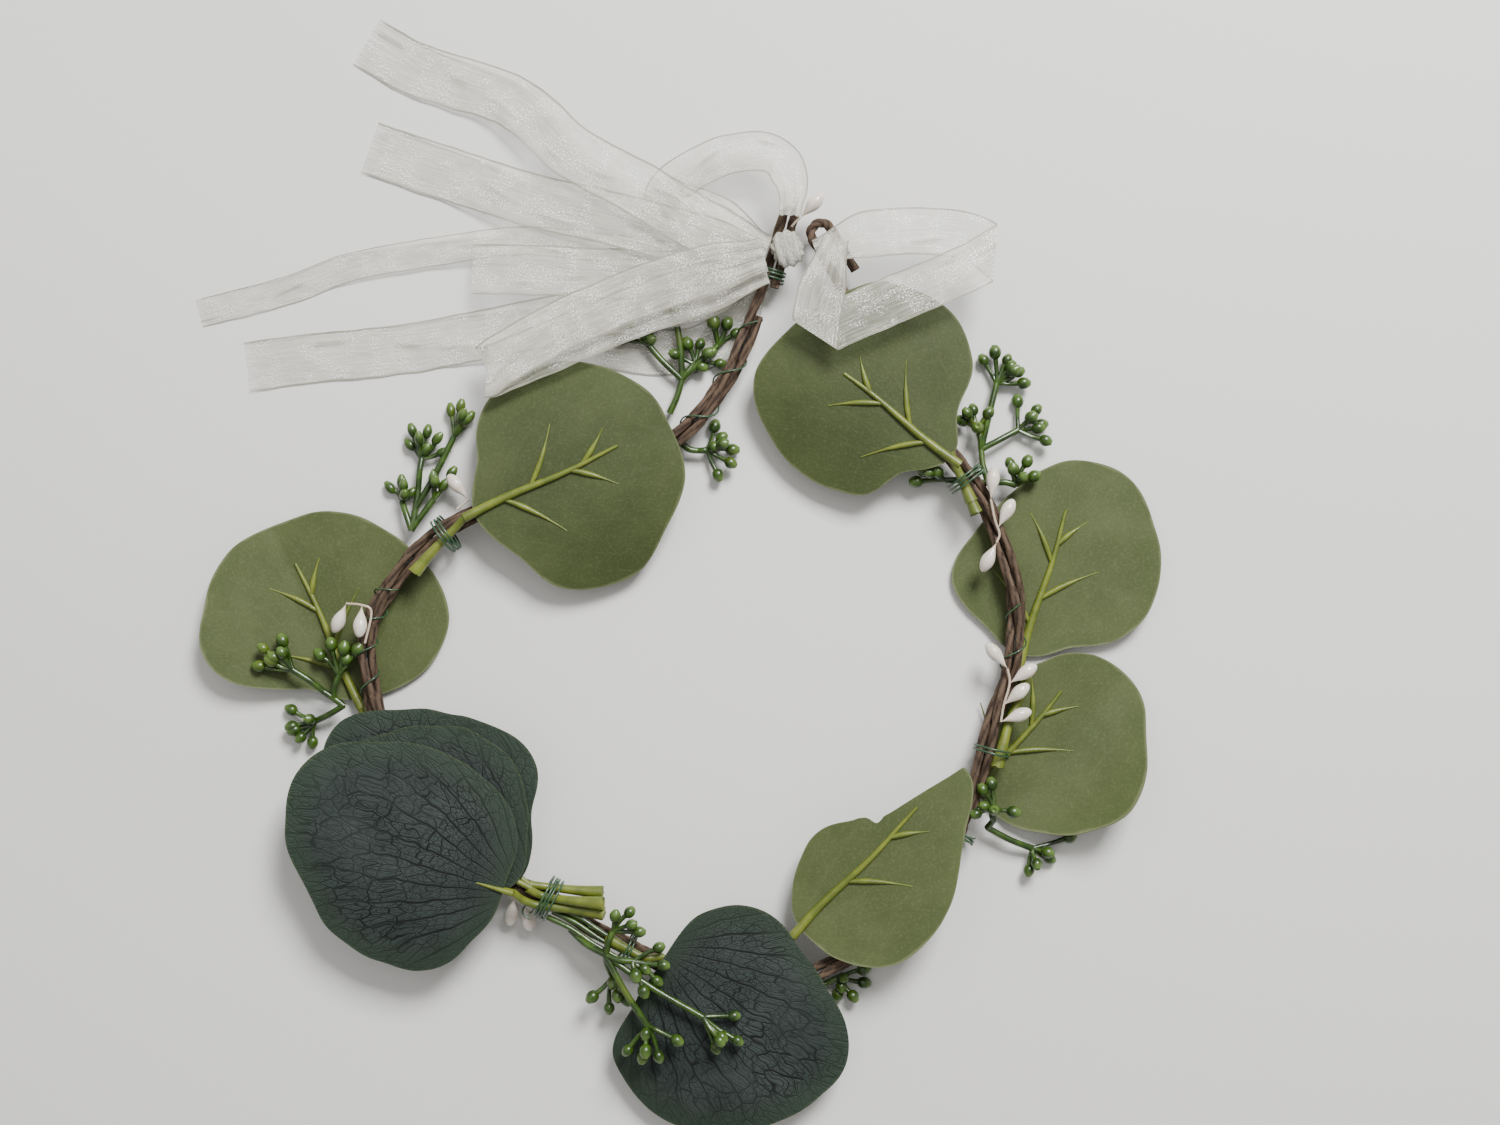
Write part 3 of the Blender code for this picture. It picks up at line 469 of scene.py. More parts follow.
def crinkled(piece, path):
    # paper ridges run round the strand like a screw thread; ridge is kept for the finish, which paints shade
    # into the grooves and a highlight on the crests
    line = [at(*p) for p in path]
    ridge = piece.data.attributes.new("ridge", "FLOAT", "POINT")
    nearest = 0
    for index, vertex in enumerate(piece.data.vertices):
        window = range(max(nearest - 6, 0), min(nearest + 7, len(line)))
        best = min(window, key=lambda k: (line[k] - vertex.co).length_squared)
        if (line[best] - vertex.co).length > 0.0035:
            best = min(range(len(line)), key=lambda k: (line[k] - vertex.co).length_squared)
        nearest = best
        ahead = (line[min(best + 1, len(line) - 1)] - line[max(best - 1, 0)]).normalized()
        out = vertex.co - line[best]
        out -= ahead * out.dot(ahead)
        side = ahead.cross(Vector((0, 0, 1))).normalized()
        up = side.cross(ahead)
        turn = math.atan2(out.dot(up), out.dot(side))
        phase = hoop["ridges"] * turn + best * hoop["twist"] + 2.5 * noise.noise(vertex.co * 240)
        wave = 0.5 + 0.5 * math.sin(phase)
        rough = noise.noise(vertex.co * 900)
        ridge.data[index].value = min(max(wave + 0.25 * rough, 0), 1)
        depth = (wave - 0.5) * hoop["ridgeDepth"] + rough * hoop["roughDepth"]
        vertex.co += out.normalized() * depth / 1000
    piece.data.update()


inner = hoopFrames(hoop["spacing"])[hoop["bare"]:-hoop["bare"]]    # the twist stops short of both ends
for strand in range(3):
    path = []
    for centre, _, outward, along in inner:
        turn = 2 * math.pi * (along / hoop["pitch"] - hoop["start"] / hoop["pitch"] + strand / 3)
        lifted = Vector((0, 0, hoop["orbit"] * math.sin(turn)))
        path.append(centre + outward * hoop["orbit"] * math.cos(turn) + lifted)
    size = 1.0
    if strand == 0:
        left = eyePath(*hoop["leftEye"])
        left.reverse()
        right = eyePath(*hoop["rightEye"])
        left = smoothPath(left + [path[0]], 5)[:-1]
        right = smoothPath([path[-1]] + right, 5)[1:]
        leftCount, rightStart = len(left), len(left) + len(path)
        count = rightStart + len(right)
        thick = hoop["eyeRadius"] / hoop["strandRadius"]
        path = left + path + right

        def size(share):
            k = share * (count - 1)
            afterLeft = blendTo(leftCount - 4, leftCount + 4, k)
            beforeRight = 1 - blendTo(rightStart - 4, rightStart + 4, k)
            return thick + (1 - thick) * afterLeft * beforeRight
    piece = tubeAlong("strand", path, hoop["strandRadius"], 14, size)
    crinkled(piece, path)
    finished(f"vine_paper_strand_{strand + 1}", [piece], 60, vinePaper, "crown",
             [f"vine_strand_{strand + 1}"])
for slot in bpy.data.objects["hoop_core_wire"].material_slots:
    slot.material = coreWire
print("hoop made")

# thin green wire wound along some stretches of the hoop: where each starts and ends, as shares of the way
# round, and the length of one turn
windings = {"radius": 0.24, "off": 3.0, "stretches": [
    ("upper_left", 0.02, 0.105, 15.0), ("left", 0.255, 0.315, 9.0), ("left_low", 0.325, 0.37, 12.0),
    ("front", 0.53, 0.6, 9.0), ("right_low", 0.7, 0.722, 11.0), ("right", 0.775, 0.82, 13.0),
    ("upper_right", 0.895, 0.95, 17.0)]}
fineHoop = hoopFrames(0.75)
for name, start, stop, pitch in windings["stretches"]:
    path = []
    for k in range(int(start * len(fineHoop)), int(stop * len(fineHoop))):
        centre, _, outward, along = fineHoop[k]
        turn = -2 * math.pi * along / pitch
        out = outward * math.cos(turn) + Vector((0, 0, math.sin(turn)))
        path.append(centre + out * windings["off"])
    piece = tubeAlong("winding", path, windings["radius"], 8)
    finished(f"winding_wire_{name}", [piece], 50, greenWire, "crown")
print("windings made")

# leaves: base and heading place the leaf, centre is how far its middle is from the base, side is 1 where the
# underside and its rib face up, and rib is the midrib's length. reach gives the edge's distance from the
# centre every 30 degrees from the tip, and lift the height of a point u along and v across
leaves = {
    "top_right": {
        "mirror": -1, "base": (75.9, 30.2), "heading": 141.4, "centre": 27.2, "side": 1, "rib": 38,
        "finish": dullLeaf, "body": "crown",
        "reach": (30, 34, 30.5, 28, 26.5, 22, 26.8, 23, 28.5, 31.5, 32, 30),
        "lift": lambda u, v: 10.7 - 5.0 * (max(v, 0) / 30) ** 2 - 0.6 * (min(v + 14, 0) / 18) ** 2},
    "top_left": {
        "mirror": 1, "base": (-55.7, 15.4), "heading": 24.8, "centre": 29.8, "side": 1, "rib": 44,
        "finish": dullLeaf, "body": "top_left_leaf",
        "reach": (30, 30, 29.5, 29.5, 30, 26, 29.6, 28, 32.5, 33.5, 31, 31.5),
        "lift": lambda u, v: 10.8 - 5.0 * (max(abs(v + 2) - 5, 0) / 26) ** 2},
    "left": {
        "mirror": -1, "base": (-88.8, -36.4), "heading": 114.3, "centre": 26.2, "side": 1, "rib": 42,
        "finish": paleLeaf, "body": "left_leaf",
        "reach": (28, 30.5, 31, 32.5, 25.5, 21, 25.8, 31.5, 36, 33, 29.5, 29.5),
        "lift": lambda u, v: 1.9 + 0.2 * max(v - 2, 0) + 0.6 * (u / 60) ** 2},
    "dark_back": {
        "mirror": 1, "base": (-41.5, -85.2), "heading": 139.7, "centre": 33.4, "side": -1, "rib": 40,
        "finish": darkLeaf, "body": "crown",
        "reach": (33.5, 30.5, 25, 21, 19.5, 22.5, 32, 28, 30.5, 27.5, 25, 27),
        "lift": lambda u, v: 11.5 - 3.0 * (max(v, 0) / 26) ** 2},
    "dark_middle": {
        "mirror": 1, "base": (-41.6, -85.8), "heading": 149.0, "centre": 31.5, "side": -1, "rib": 40,
        "finish": darkLeaf, "body": "crown",
        "reach": (31, 28, 26, 24, 24, 24, 30, 28, 29.5, 29, 27, 28),
        "lift": lambda u, v: 13.7 - 3.0 * (max(v, 0) / 26) ** 2},
    "dark_front": {
        "mirror": 1, "base": (-46.2, -87.0), "heading": 163.7, "centre": 28.2, "side": -1, "rib": 40,
        "finish": darkLeaf, "body": "dark_front_leaf",
        "reach": (34, 28.5, 28, 29, 30.5, 28, 27.8, 31.5, 31.5, 32, 33.5, 38.5),
        "lift": lambda u, v: (16.2 - 3.5 * (max(v, 0) / 30) ** 2 - 0.9 * (min(v, 0) / 30) ** 2
                              - 0.3 * (u / 60) ** 2)},
    "bottom": {
        "mirror": 1, "base": (-3.1, -106.4), "heading": -42.2, "centre": 26.8, "side": -1, "rib": 38,
        "finish": darkLeaf, "body": "crown",
        "reach": (31, 31.5, 27, 26.8, 31.4, 32.5, 26.4, 28.5, 35.5, 34.5, 31.5, 29.5),
        "lift": lambda u, v: 11.6 - 5.0 * (max(-v - 3, 0) / 30) ** 2 - 1.5 * (max(u - 30, 0) / 28) ** 2},
    "bottom_right": {
        "mirror": -1, "base": (33.6, -98.8), "heading": 45.7, "centre": 30.0, "side": 1, "rib": 47,
        "finish": paleLeaf, "body": "bottom_right_leaf",
        "folded": ((32.4, -0.8), (8.4, 5.2)),
        "reach": (33, 10, 9.6, 12, 17, 22.5, 29.5, 30.5, 29.5, 25.5, 23, 25.5),
        "lift": lambda u, v: 9.2 + 0.05 * u + (0.22 * -v if v < 0 else -0.1 * v)},
    "right_lower": {
        "mirror": -1, "base": (83.2, -61.9), "heading": 49.6, "centre": 24.5, "side": 1, "rib": 37,
        "finish": paleLeaf, "body": "right_lower_leaf",
        "reach": (26.5, 18, 15.5, 13, 12.5, 14.5, 24, 28.5, 31.5, 33, 31, 30.5),
        "lift": lambda u, v: 1.7 + 11.0 * (max(-v - 8, 0) / 23) ** 2 + 0.6 * (u / 60) ** 2},
    "right_upper": {
        "mirror": -1, "base": (96.0, -24.4), "heading": 72.8, "centre": 29.1, "side": 1, "rib": 43,
        "finish": paleLeaf, "body": "right_upper_leaf",
        "reach": (28.5, 23.5, 20.5, 23, 28.5, 26.5, 28.7, 25.5, 29.5, 30.5, 29.5, 31),
        "lift": lambda u, v: 2.0 + 5.0 * (max(-v - 4, 0) / 30) ** 2}}
# ripple is in the face, and wave is how far the edge wanders on a pale (1) and a dark (-1) leaf
blade = {"cuts": 56, "thickness": 0.34, "ripple": 0.16, "wave": {1: 0.9, -1: 1.1}, "mapUnit": 60}


def leafPoint(leaf, u, v, above=0.0):
    angle = math.radians(leaf["heading"])
    x = leaf["base"][0] + u * math.cos(angle) - v * math.sin(angle)
    y = leaf["base"][1] + u * math.sin(angle) + v * math.cos(angle)
    return (x, y, leaf["lift"](u, v) + above)


def edgeReach(leaf, angle):
    if "folded" in leaf:    # a straight edge, from the tip to a point nearer the middle, both from the centre
        (px, py), (qx, qy) = leaf["folded"]
        if math.atan2(py, px) <= math.atan2(math.sin(angle), math.cos(angle)) <= math.atan2(qy, qx):
            dx, dy = qx - px, qy - py
            return (px * dy - py * dx) / (math.cos(angle) * dy - math.sin(angle) * dx)
    reach = leaf["reach"]
    place = (angle / (2 * math.pi)) % 1.0 * len(reach)
    k = int(place)
    a, b, c, d = (reach[(k + j) % len(reach)] for j in (-1, 0, 1, 2))
    return curveBetween(a, b, c, d, place - k)


def makeBlade(key, leaf):
    piece = gridPiece(f"leaf_blade_{key}", blade["cuts"], blade["cuts"])
    mesh = piece.data
    rim = mesh.attributes.new("rimShare", "FLOAT", "POINT")
    plane = []
    for index, vertex in enumerate(mesh.vertices):
        s, t = vertex.co.x, vertex.co.y
        # the square grid is drawn out to a disc
        x, y = s * math.sqrt(1 - t * t / 2), t * math.sqrt(1 - s * s / 2)
        share, angle = math.hypot(x, y), math.atan2(y, x)
        around = Vector((2.6 * math.cos(angle), 2.6 * math.sin(angle), leaf["heading"]))
        wave = blade["wave"][leaf["side"]] * noise.noise(around)
        reach = (edgeReach(leaf, angle) + wave) * share
        u, v = leaf["centre"] + reach * math.cos(angle), reach * math.sin(angle)
        ripple = blade["ripple"] * noise.noise(Vector((u / 9, v / 9, leaf["heading"]))) * (0.3 + share)
        vertex.co = at(*leafPoint(leaf, u, v, ripple))
        rim.data[index].value = share
        plane.append((u / blade["mapUnit"], v / blade["mapUnit"]))
    flatMap(mesh, "leafPlane", plane)
    facedAlike(piece)
    if mesh.polygons[len(mesh.polygons) // 2].normal.z < 0:
        mesh.flip_normals()
    area = sum(face.area for face in mesh.polygons)
    applied(piece, "SOLIDIFY", thickness=blade["thickness"] / 1000, offset=0.0)
    smoothed(piece, 40)
    dress(piece, leaf["finish"], leaf["body"], [f"leaf_{key}"])
    return piece, area


# ribs: a tapering midrib with side ribs, raised on a pale leaf's face and hidden under a dark leaf
# each side rib: which way it goes, where it leaves the midrib as a share of it, and how far it runs ahead
# and outwards
ribShape = {
    "root": -2.4, "rise": 0.62, "under": 1.05, "slim": 0.6, "thick": 1.3, "sideThick": 0.85,
    "sides": ((-1, 0.24, 11.0, 15.0), (1, 0.42, 11.0, 13.5), (-1, 0.68, 10.0, 9.5), (1, 0.78, 8.0, 6.5))}


def makeRib(key, leaf):
    side = leaf["side"]
    length = leaf["rib"]
    slim = 1.0 if side == 1 else ribShape["slim"]    # a dark leaf's rib has to fit between two blades
    parts = []
    path = []
    for step in range(25):
        u = ribShape["root"] + (length - ribShape["root"]) * step / 24
        rise = ribShape["rise"] + 0.62 * (1 - blendTo(-2, 5, u)) if side == 1 else ribShape["under"]
        above = side * (rise - 0.35 * blendTo(0.6, 1.0, step / 24))
        path.append(leafPoint(leaf, u, 0.35 * math.sin(u / 6), above))
    parts.append(tubeAlong("rib", path, ribShape["thick"] * slim, 12, lambda t: 1.05 - 0.7 * t))
    for way, share, ahead, out in ribShape["sides"]:
        if "folded" in leaf and way * leaf["mirror"] > 0:
            continue
        start = length * share
        path = []
        for step in range(11):
            t = step / 10
            u = start - 1.2 + (ahead + 1.2) * t
            v = way * leaf["mirror"] * out * (0.7 * t + 0.3 * t * t)
            rise = ribShape["rise"] - 0.1 - 0.35 * t if side == 1 else ribShape["under"]
            path.append(leafPoint(leaf, u, v, side * rise))
        parts.append(tubeAlong("rib", path, ribShape["sideThick"] * slim, 8,
                               lambda t: 0.55 + 0.55 * math.sin(math.pi * min(t * 1.3, 1)) - 0.35 * t))
    if key == "dark_front":    # the stalk shows for a few millimetres on the face that is seen
        path = [leafPoint(leaf, u, 0, 0.35 - 0.07 * max(u - 3, 0)) for u in (-2.4, -0.5, 1.5, 3.5, 5.5, 8.0)]
        parts.append(tubeAlong("rib", path, 0.95, 10, lambda t: 1.0 - 0.75 * t))
    return parts


stemRoutes = {
    "top_left": [(-60.5, 11.4, 11.0), (-66.2, 5.6, 10.9), (-71.5, -0.5, 10.7)],
    "left": [(-85.6, -43.5, 2.7), (-80.5, -51.0, 2.5), (-74.5, -59.0, 2.5)],
    "dark_front": [(-41.5, -90.2, 12.7), (-37.1, -92.0, 11.1), (-28.6, -92.8, 10.9), (-19.6, -94.2, 10.9)],
    "bottom_right": [(29.5, -104.8, 7.2), (22.5, -109.3, 6.8), (12.0, -108.9, 6.8)],
    "right_lower": [(79.0, -70.0, 2.5), (74.0, -78.2, 2.5)],
    "right_upper": [(96.4, -32.0, 5.6), (92.4, -40.5, 7.7), (90.3, -47.0, 8.9), (88.4, -54.0, 9.4)],
    "top_right": [(76.6, 29.0, 11.6), (78.0, 25.6, 11.3), (80.4, 20.3, 11.2), (82.4, 15.6, 11.2)],
    "dark_back": [(-40.3, -86.2, 10.6), (-34.6, -87.2, 9.1), (-28.0, -88.0, 9.2), (-20.0, -88.6, 9.6)],
    "dark_middle": [(-40.4, -87.0, 12.8), (-35.7, -89.5, 11.1), (-28.0, -90.3, 12.7), (-19.6, -90.8, 13.8)],
    "bottom": [(-3.8, -106.0, 10.7), (-8.5, -106.2, 11.2), (-14.0, -103.4, 11.2), (-19.0, -100.6, 11.2)]}
onePiece = ("top_right", "dark_back", "dark_middle", "bottom")
stemShape = {"from": -2.2, "above": 1.25, "radius": 1.1, "flare": 0.73, "wall": 0.42, "depth": 3.5,
             "ragged": 0.7, "uneven": 0.12}


def makeStem(key, leaf):
    # a moulded tube whose far end flares, with the hollow mouth and the ragged cut that it was trimmed with
    points = list(stemRoutes[key])
    if key not in onePiece:
        points = [leafPoint(leaf, stemShape["from"], 0, leaf["side"] * stemShape["above"])] + points
    path = smoothPath(points, 6)
    tube = tubeAlong("stem", path, stemShape["radius"], 14, lambda t: 1 + stemShape["flare"] * t ** 3)
    end, ahead = at(*path[-1]), (at(*path[-1]) - at(*path[-2])).normalized()
    selectOnly(tube)
    for face in tube.data.polygons:
        face.select = face.normal.dot(ahead) > 0.9 and (face.center - end).length < 0.0012
    bpy.ops.object.mode_set(mode="EDIT")
    bpy.ops.mesh.select_mode(type="FACE")
    bpy.ops.mesh.inset(thickness=stemShape["wall"] / 1000)
    bpy.ops.mesh.extrude_region_move(TRANSFORM_OT_translate={"value": -ahead * stemShape["depth"] / 1000})
    bpy.ops.object.mode_set(mode="OBJECT")
    for vertex in tube.data.vertices:
        if (vertex.co - end).dot(ahead) > -0.0003:
            vertex.co += ahead * stemShape["ragged"] / 1000 * noise.noise(vertex.co * 1400)
        vertex.co.z += stemShape["uneven"] / 1000 * noise.noise(vertex.co * 330)
    return tube


for key, leaf in leaves.items():
    piece, area = makeBlade(key, leaf)
    ribParts = makeRib(key, leaf)
    stem = makeStem(key, leaf)
    if key in onePiece:
        ribParts.append(stem)
    finished(f"moulded_rib_{key}", ribParts, 60, waxyRib, leaf["body"], [f"rib_{key}"])
    if key not in onePiece:
        finished(f"stem_tube_{key}", [stem], 60, waxyRib, "crown", [f"stem_{key}"])
print("leaves made")

# berry sprays: a stem, and umbels with their hub, the stem point that each leaves from, and the berry places
sprays = {
    "top": ([(-2.0, 43.6, 3.4), (0.0, 48.0, 3.2), (1.5, 53.0, 3.0)], [
        ((-0.5, 71.0, 2.6), 2, [(-6.0, 75.0), (-1.5, 77.0), (4.5, 77.0)]),
        ((-8.5, 63.5, 2.6), 2, [(-15.5, 64.5), (-13.5, 68.5), (-9.0, 70.5), (-5.5, 69.5)]),
        ((5.0, 57.5, 2.6), 2, [(6.5, 63.0), (9.5, 60.5), (12.0, 57.5), (-0.5, 60.0), (3.0, 63.0)]),
        ((11.5, 62.5, 2.6), 2, [(10.5, 69.5), (14.0, 68.5), (16.5, 66.0)])]),
    "top_inner": ([(1.0, 35.6, 4.0), (3.5, 33.6, 3.6), (6.0, 33.2, 3.2)], [
        ((8.5, 33.5, 3.0), 2, [(10.5, 40.0), (12.5, 36.8), (15.5, 33.5), (15.0, 29.8), (11.5, 26.5)])]),
    "top_left": ([(-73.5, 11.0, 5.0), (-72.5, 17.0, 4.2), (-71.8, 22.5, 3.6)], [
        ((-71.0, 31.0, 3.0), 2, [(-74.5, 35.0), (-73.5, 38.8), (-69.5, 38.5), (-66.5, 36.5), (-65.0, 32.8)]),
        ((-62.0, 37.0, 3.4), 1, [(-63.0, 44.5), (-60.0, 45.5), (-57.8, 42.5)]),
        ((-76.5, 19.0, 2.8), 0, [(-80.0, 23.0), (-76.5, 24.5), (-74.0, 21.5)]),
        ((-67.5, 19.5, 4.4), 0, [(-67.5, 26.0), (-64.5, 23.5), (-62.5, 27.0)])]),
    "left": ([(-92.0, -37.5, 6.5), (-94.5, -35.5, 6.8), (-97.5, -33.5, 7.0)], [
        ((-105.5, -27.5, 8.6), 2, [(-115.0, -26.5), (-113.5, -21.5), (-108.5, -19.5), (-110.5, -24.0)]),
        ((-93.0, -29.0, 7.6), 1, [(-98.5, -23.5), (-95.0, -20.5), (-91.0, -21.5), (-87.8, -21.8)]),
        ((-100.5, -42.0, 2.8), 0, [(-107.5, -39.0), (-107.0, -43.5), (-101.5, -48.0), (-104.5, -46.5)])]),
    "bottom": ([(-29.0, -99.0, 8.5), (-24.5, -102.5, 11.2), (-19.0, -105.0, 13.4)], [
        ((-17.0, -98.5, 13.6), 2, [(-12.5, -93.5), (-9.8, -98.5)]),
        ((-11.5, -106.5, 14.2), 2, [(-4.5, -103.0), (-3.2, -107.5), (-5.0, -112.0), (-8.5, -114.5)]),
        ((-17.5, -112.0, 8.0), 2, [(-18.5, -121.0), (-23.0, -117.5), (-13.8, -118.5)]),
        ((-7.5, -124.0, 14.4), 2, [(-13.0, -131.0), (-8.8, -132.5), (-4.5, -132.5), (0.5, -127.8)]),
        ((7.5, -121.5, 15.0), 2, [(16.0, -121.5), (17.0, -127.8), (11.0, -130.0)])]),
    "bottom_right": ([(38.5, -115.6, 5.0), (41.5, -114.8, 4.2)], [
        ((45.5, -113.4, 2.8), 1, [(44.8, -118.5), (49.0, -118.5), (52.2, -115.0), (52.0, -111.0)])]),
    "right_low": ([(86.3, -71.5, 4.8), (87.6, -69.0, 7.5)], [
        ((87.6, -66.0, 9.0), 1, [(86.9, -59.0), (92.8, -66.5), (84.5, -60.5), (82.5, -67.0)]),
        ((99.0, -77.5, 2.8), 0, [(104.0, -80.5), (98.0, -83.5), (109.5, -74.5)])]),
    "right_top": ([(86.5, 24.0, 5.6), (85.0, 29.0, 5.0), (84.6, 33.5, 4.4)], [
        ((89.0, 52.0, 3.2), 2, [(85.5, 58.5), (88.5, 60.5), (92.0, 58.5), (95.0, 55.0), (96.5, 52.0)]),
        ((95.0, 39.0, 3.0), 2, [(95.0, 47.0), (100.0, 44.5), (101.5, 40.5), (102.5, 36.0)]),
        ((83.5, 39.0, 4.2), 2, [(82.5, 44.5), (86.5, 43.5), (79.5, 41.5)]),
        ((94.0, 23.5, 6.2), 0, [(92.5, 29.5), (97.0, 30.0), (99.0, 26.0)]),
        ((74.5, 25.0, 5.4), 0, [(71.0, 30.0), (68.5, 27.5), (66.5, 24.5)])])}
# rise is each berry's height against its hub, extraRise is added for the inner ones, lowest keeps a berry off
# the table, inner is how far out the inner ones sit, and grow is the spread of berry sizes
spray = {"berry": 1.62, "twig": 0.62, "branch": 0.88, "stem": 1.0, "rise": (-1.1, 0.6, -0.5, 1.0, 0.1),
         "extraRise": 1.6, "lowest": 1.9, "bow": 0.6, "twigBow": 0.5, "inner": (0.55, 0.8), "spread": 3,
         "grow": (0.92, 1.12)}


def anyOf(limit):    # a random place up to limit either way
    return random.uniform(-limit, limit)


def makeBerry():
    # a ball drawn out a little, with a dimpled cup at its tip
    clearSelection()
    radius = spray["berry"] / 1000
    bpy.ops.mesh.primitive_uv_sphere_add(segments=12, ring_count=8, radius=radius, location=(0, 0, 0))
    berry = bpy.context.object
    tip = berry.data.attributes.new("tipShare", "FLOAT", "POINT")
    for index, vertex in enumerate(berry.data.vertices):
        height = vertex.co.z / radius
        tip.data[index].value = 0.5 + 0.5 * height
        vertex.co.z *= 1.12
        if height > 0.99:
            vertex.co.z -= 0.5 * radius
        elif height > 0.85:
            vertex.co.z += 0.12 * radius
            vertex.co.x *= 1.1
            vertex.co.y *= 1.1
    return berry


masterBerry = makeBerry()
for key, (stem, umbels) in sprays.items():
    random.seed(key)
    parts = []
    stemPath = smoothPath(stem, 4) if len(stem) > 2 else stem
    parts.append(tubeAlong("stalk", stemPath, spray["stem"], 8, 0.85))
    for hub, joint, places in umbels:
        root, hub = Vector(stem[joint]), Vector(hub)
        bow = Vector((anyOf(spray["bow"]), anyOf(spray["bow"]), 0.5))
        branch = smoothPath([root, (root + hub) / 2 + bow, hub], 4)
        parts.append(tubeAlong("stalk", branch, spray["branch"], 8, 1.05))
        mean = sum((Vector(place) for place in places), Vector((0, 0))) / len(places)
        extra = [tuple(hub.xy + (mean - hub.xy) * random.uniform(*spray["inner"])
                       + Vector((anyOf(spray["spread"]), anyOf(spray["spread"])))) for _ in range(2)]
        for index, (x, y) in enumerate(list(places) + extra):
            rise = spray["rise"][index % 5]
            more = spray["extraRise"] if index >= len(places) else 0
            tip = Vector((x, y, max(hub.z + rise + more, spray["lowest"])))
            bow = Vector((anyOf(spray["twigBow"]), anyOf(spray["twigBow"]), -0.2))
            twig = smoothPath([hub, (hub + tip) / 2 + bow, tip], 3)
            parts.append(tubeAlong("stalk", twig, spray["twig"], 6, lambda t: 1 + 0.5 * t ** 4))
            if key == "top_left":    # its berries are thinner and longer
                grow, long = 0.85, 1.35
            else:
                grow, long = random.uniform(*spray["grow"]), 1.0
            place = pointing(at(*tip), at(*(tip + (tip - hub))), grow, grow * long)
            parts.append(copied(masterBerry, "berry", place))
    if key == "bottom":    # bare stalks lie along the hoop up to the tube ends
        for shift in (-0.9, 0.6, 1.9):
            route = [(-34.5 + shift, -94.5 + shift, 9.2), (-28.0 + shift, -97.4 + shift, 10.2),
                     (-21.5 + shift, -101.6 + shift, 10.8), (-14.5 + shift, -105.4 + shift, 11.4)]
            parts.append(tubeAlong("stalk", smoothPath(route, 4), 0.8, 8, 0.8))
    finished(f"berry_stalks_{key}", parts, 60, lacqueredBerry, "crown",
             [] if key == "top_inner" else [f"berry_spray_{key}"])
bpy.data.objects.remove(masterBerry, do_unlink=True)
print("sprays made")

# stamen buds: threads with drop-shaped ends, each given by its narrow and round end
picks = {
    "left": ([(-90.6, -9.2, 9.4), (-86.0, -9.6, 10.9), (-83.4, -11.5, 10.8), (-85.2, -20.0, 10.7)],
             [((-90.6, -9.2, 9.4), (-94.2, -17.0, 8.2)), ((-86.0, -9.6, 10.9), (-86.4, -18.2, 12.6))]),
    "front": ([(-45.0, -90.6, 6.0), (-43.4, -91.2, 6.4), (-42.0, -92.0, 6.6)],
              [((-45.0, -90.6, 6.0), (-46.4, -98.2, 3.2)), ((-42.0, -92.0, 6.6), (-40.6, -100.0, 3.6))]),
    "top_left": ([(-57.5, 19.6, 6.0), (-59.0, 18.2, 6.6), (-60.6, 16.8, 7.0)],
                 [((-57.5, 19.6, 6.0), (-63.5, 26.6, 5.4))]),
    "eye": ([(34.2, 96.8, 9.6), (32.8, 95.6, 9.3), (31.8, 94.4, 9.2)],
            [((34.2, 96.8, 9.6), (40.4, 103.2, 10.2))]),
    "right_upper": ([(86.4, 19.4, 11.0), (87.6, 13.6, 11.0), (88.8, 10.0, 10.9), (88.0, 7.6, 11.0)],
                    [((86.4, 19.4, 11.0), (87.4, 28.2, 10.0)), ((88.4, 11.6, 11.1), (92.8, 19.6, 10.2)),
                     ((88.0, 7.6, 11.0), (84.4, 0.0, 9.6))]),
    "right_lower": ([(91.0, -27.0, 10.9), (91.6, -31.0, 10.8), (90.0, -37.0, 10.8), (89.2, -41.6, 10.7)],
                    [((91.0, -27.0, 10.9), (85.6, -20.4, 9.6)), ((91.6, -31.0, 10.8), (99.6, -25.6, 10.4)),
                     ((90.0, -37.0, 10.8), (96.8, -31.4, 10.4)), ((89.2, -41.6, 10.7), (98.2, -38.4, 10.2))])}
bud = {"length": 9.0, "radius": 2.05, "thread": 0.33}


def makeBud():
    # a drop, narrow where it leaves the thread and full near its end
    clearSelection()
    bpy.ops.mesh.primitive_uv_sphere_add(segments=20, ring_count=16, radius=1, location=(0, 0, 0))
    drop = bpy.context.object
    tip = drop.data.attributes.new("tipShare", "FLOAT", "POINT")
    for index, vertex in enumerate(drop.data.vertices):
        share = (1 + vertex.co.z) / 2
        width = bud["radius"] * (0.1 + 0.9 * math.sin(math.pi / 2 * min(share / 0.72, 1)) ** 1.5)
        tip.data[index].value = share
        vertex.co = Vector((vertex.co.x * width, vertex.co.y * width, share * bud["length"])) / 1000
    return drop


masterBud = makeBud()
for key, (thread, drops) in picks.items():
    parts = [tubeAlong("thread", smoothPath(thread, 4), bud["thread"], 8)]
    for low, high in drops:
        parts.append(copied(masterBud, "drop", pointing(at(*low), at(*high))))
    finished(f"stamen_buds_{key}", parts, 60, pearlBud, "crown", [f"bud_pick_{key}"])
bpy.data.objects.remove(masterBud, do_unlink=True)
print("buds made")

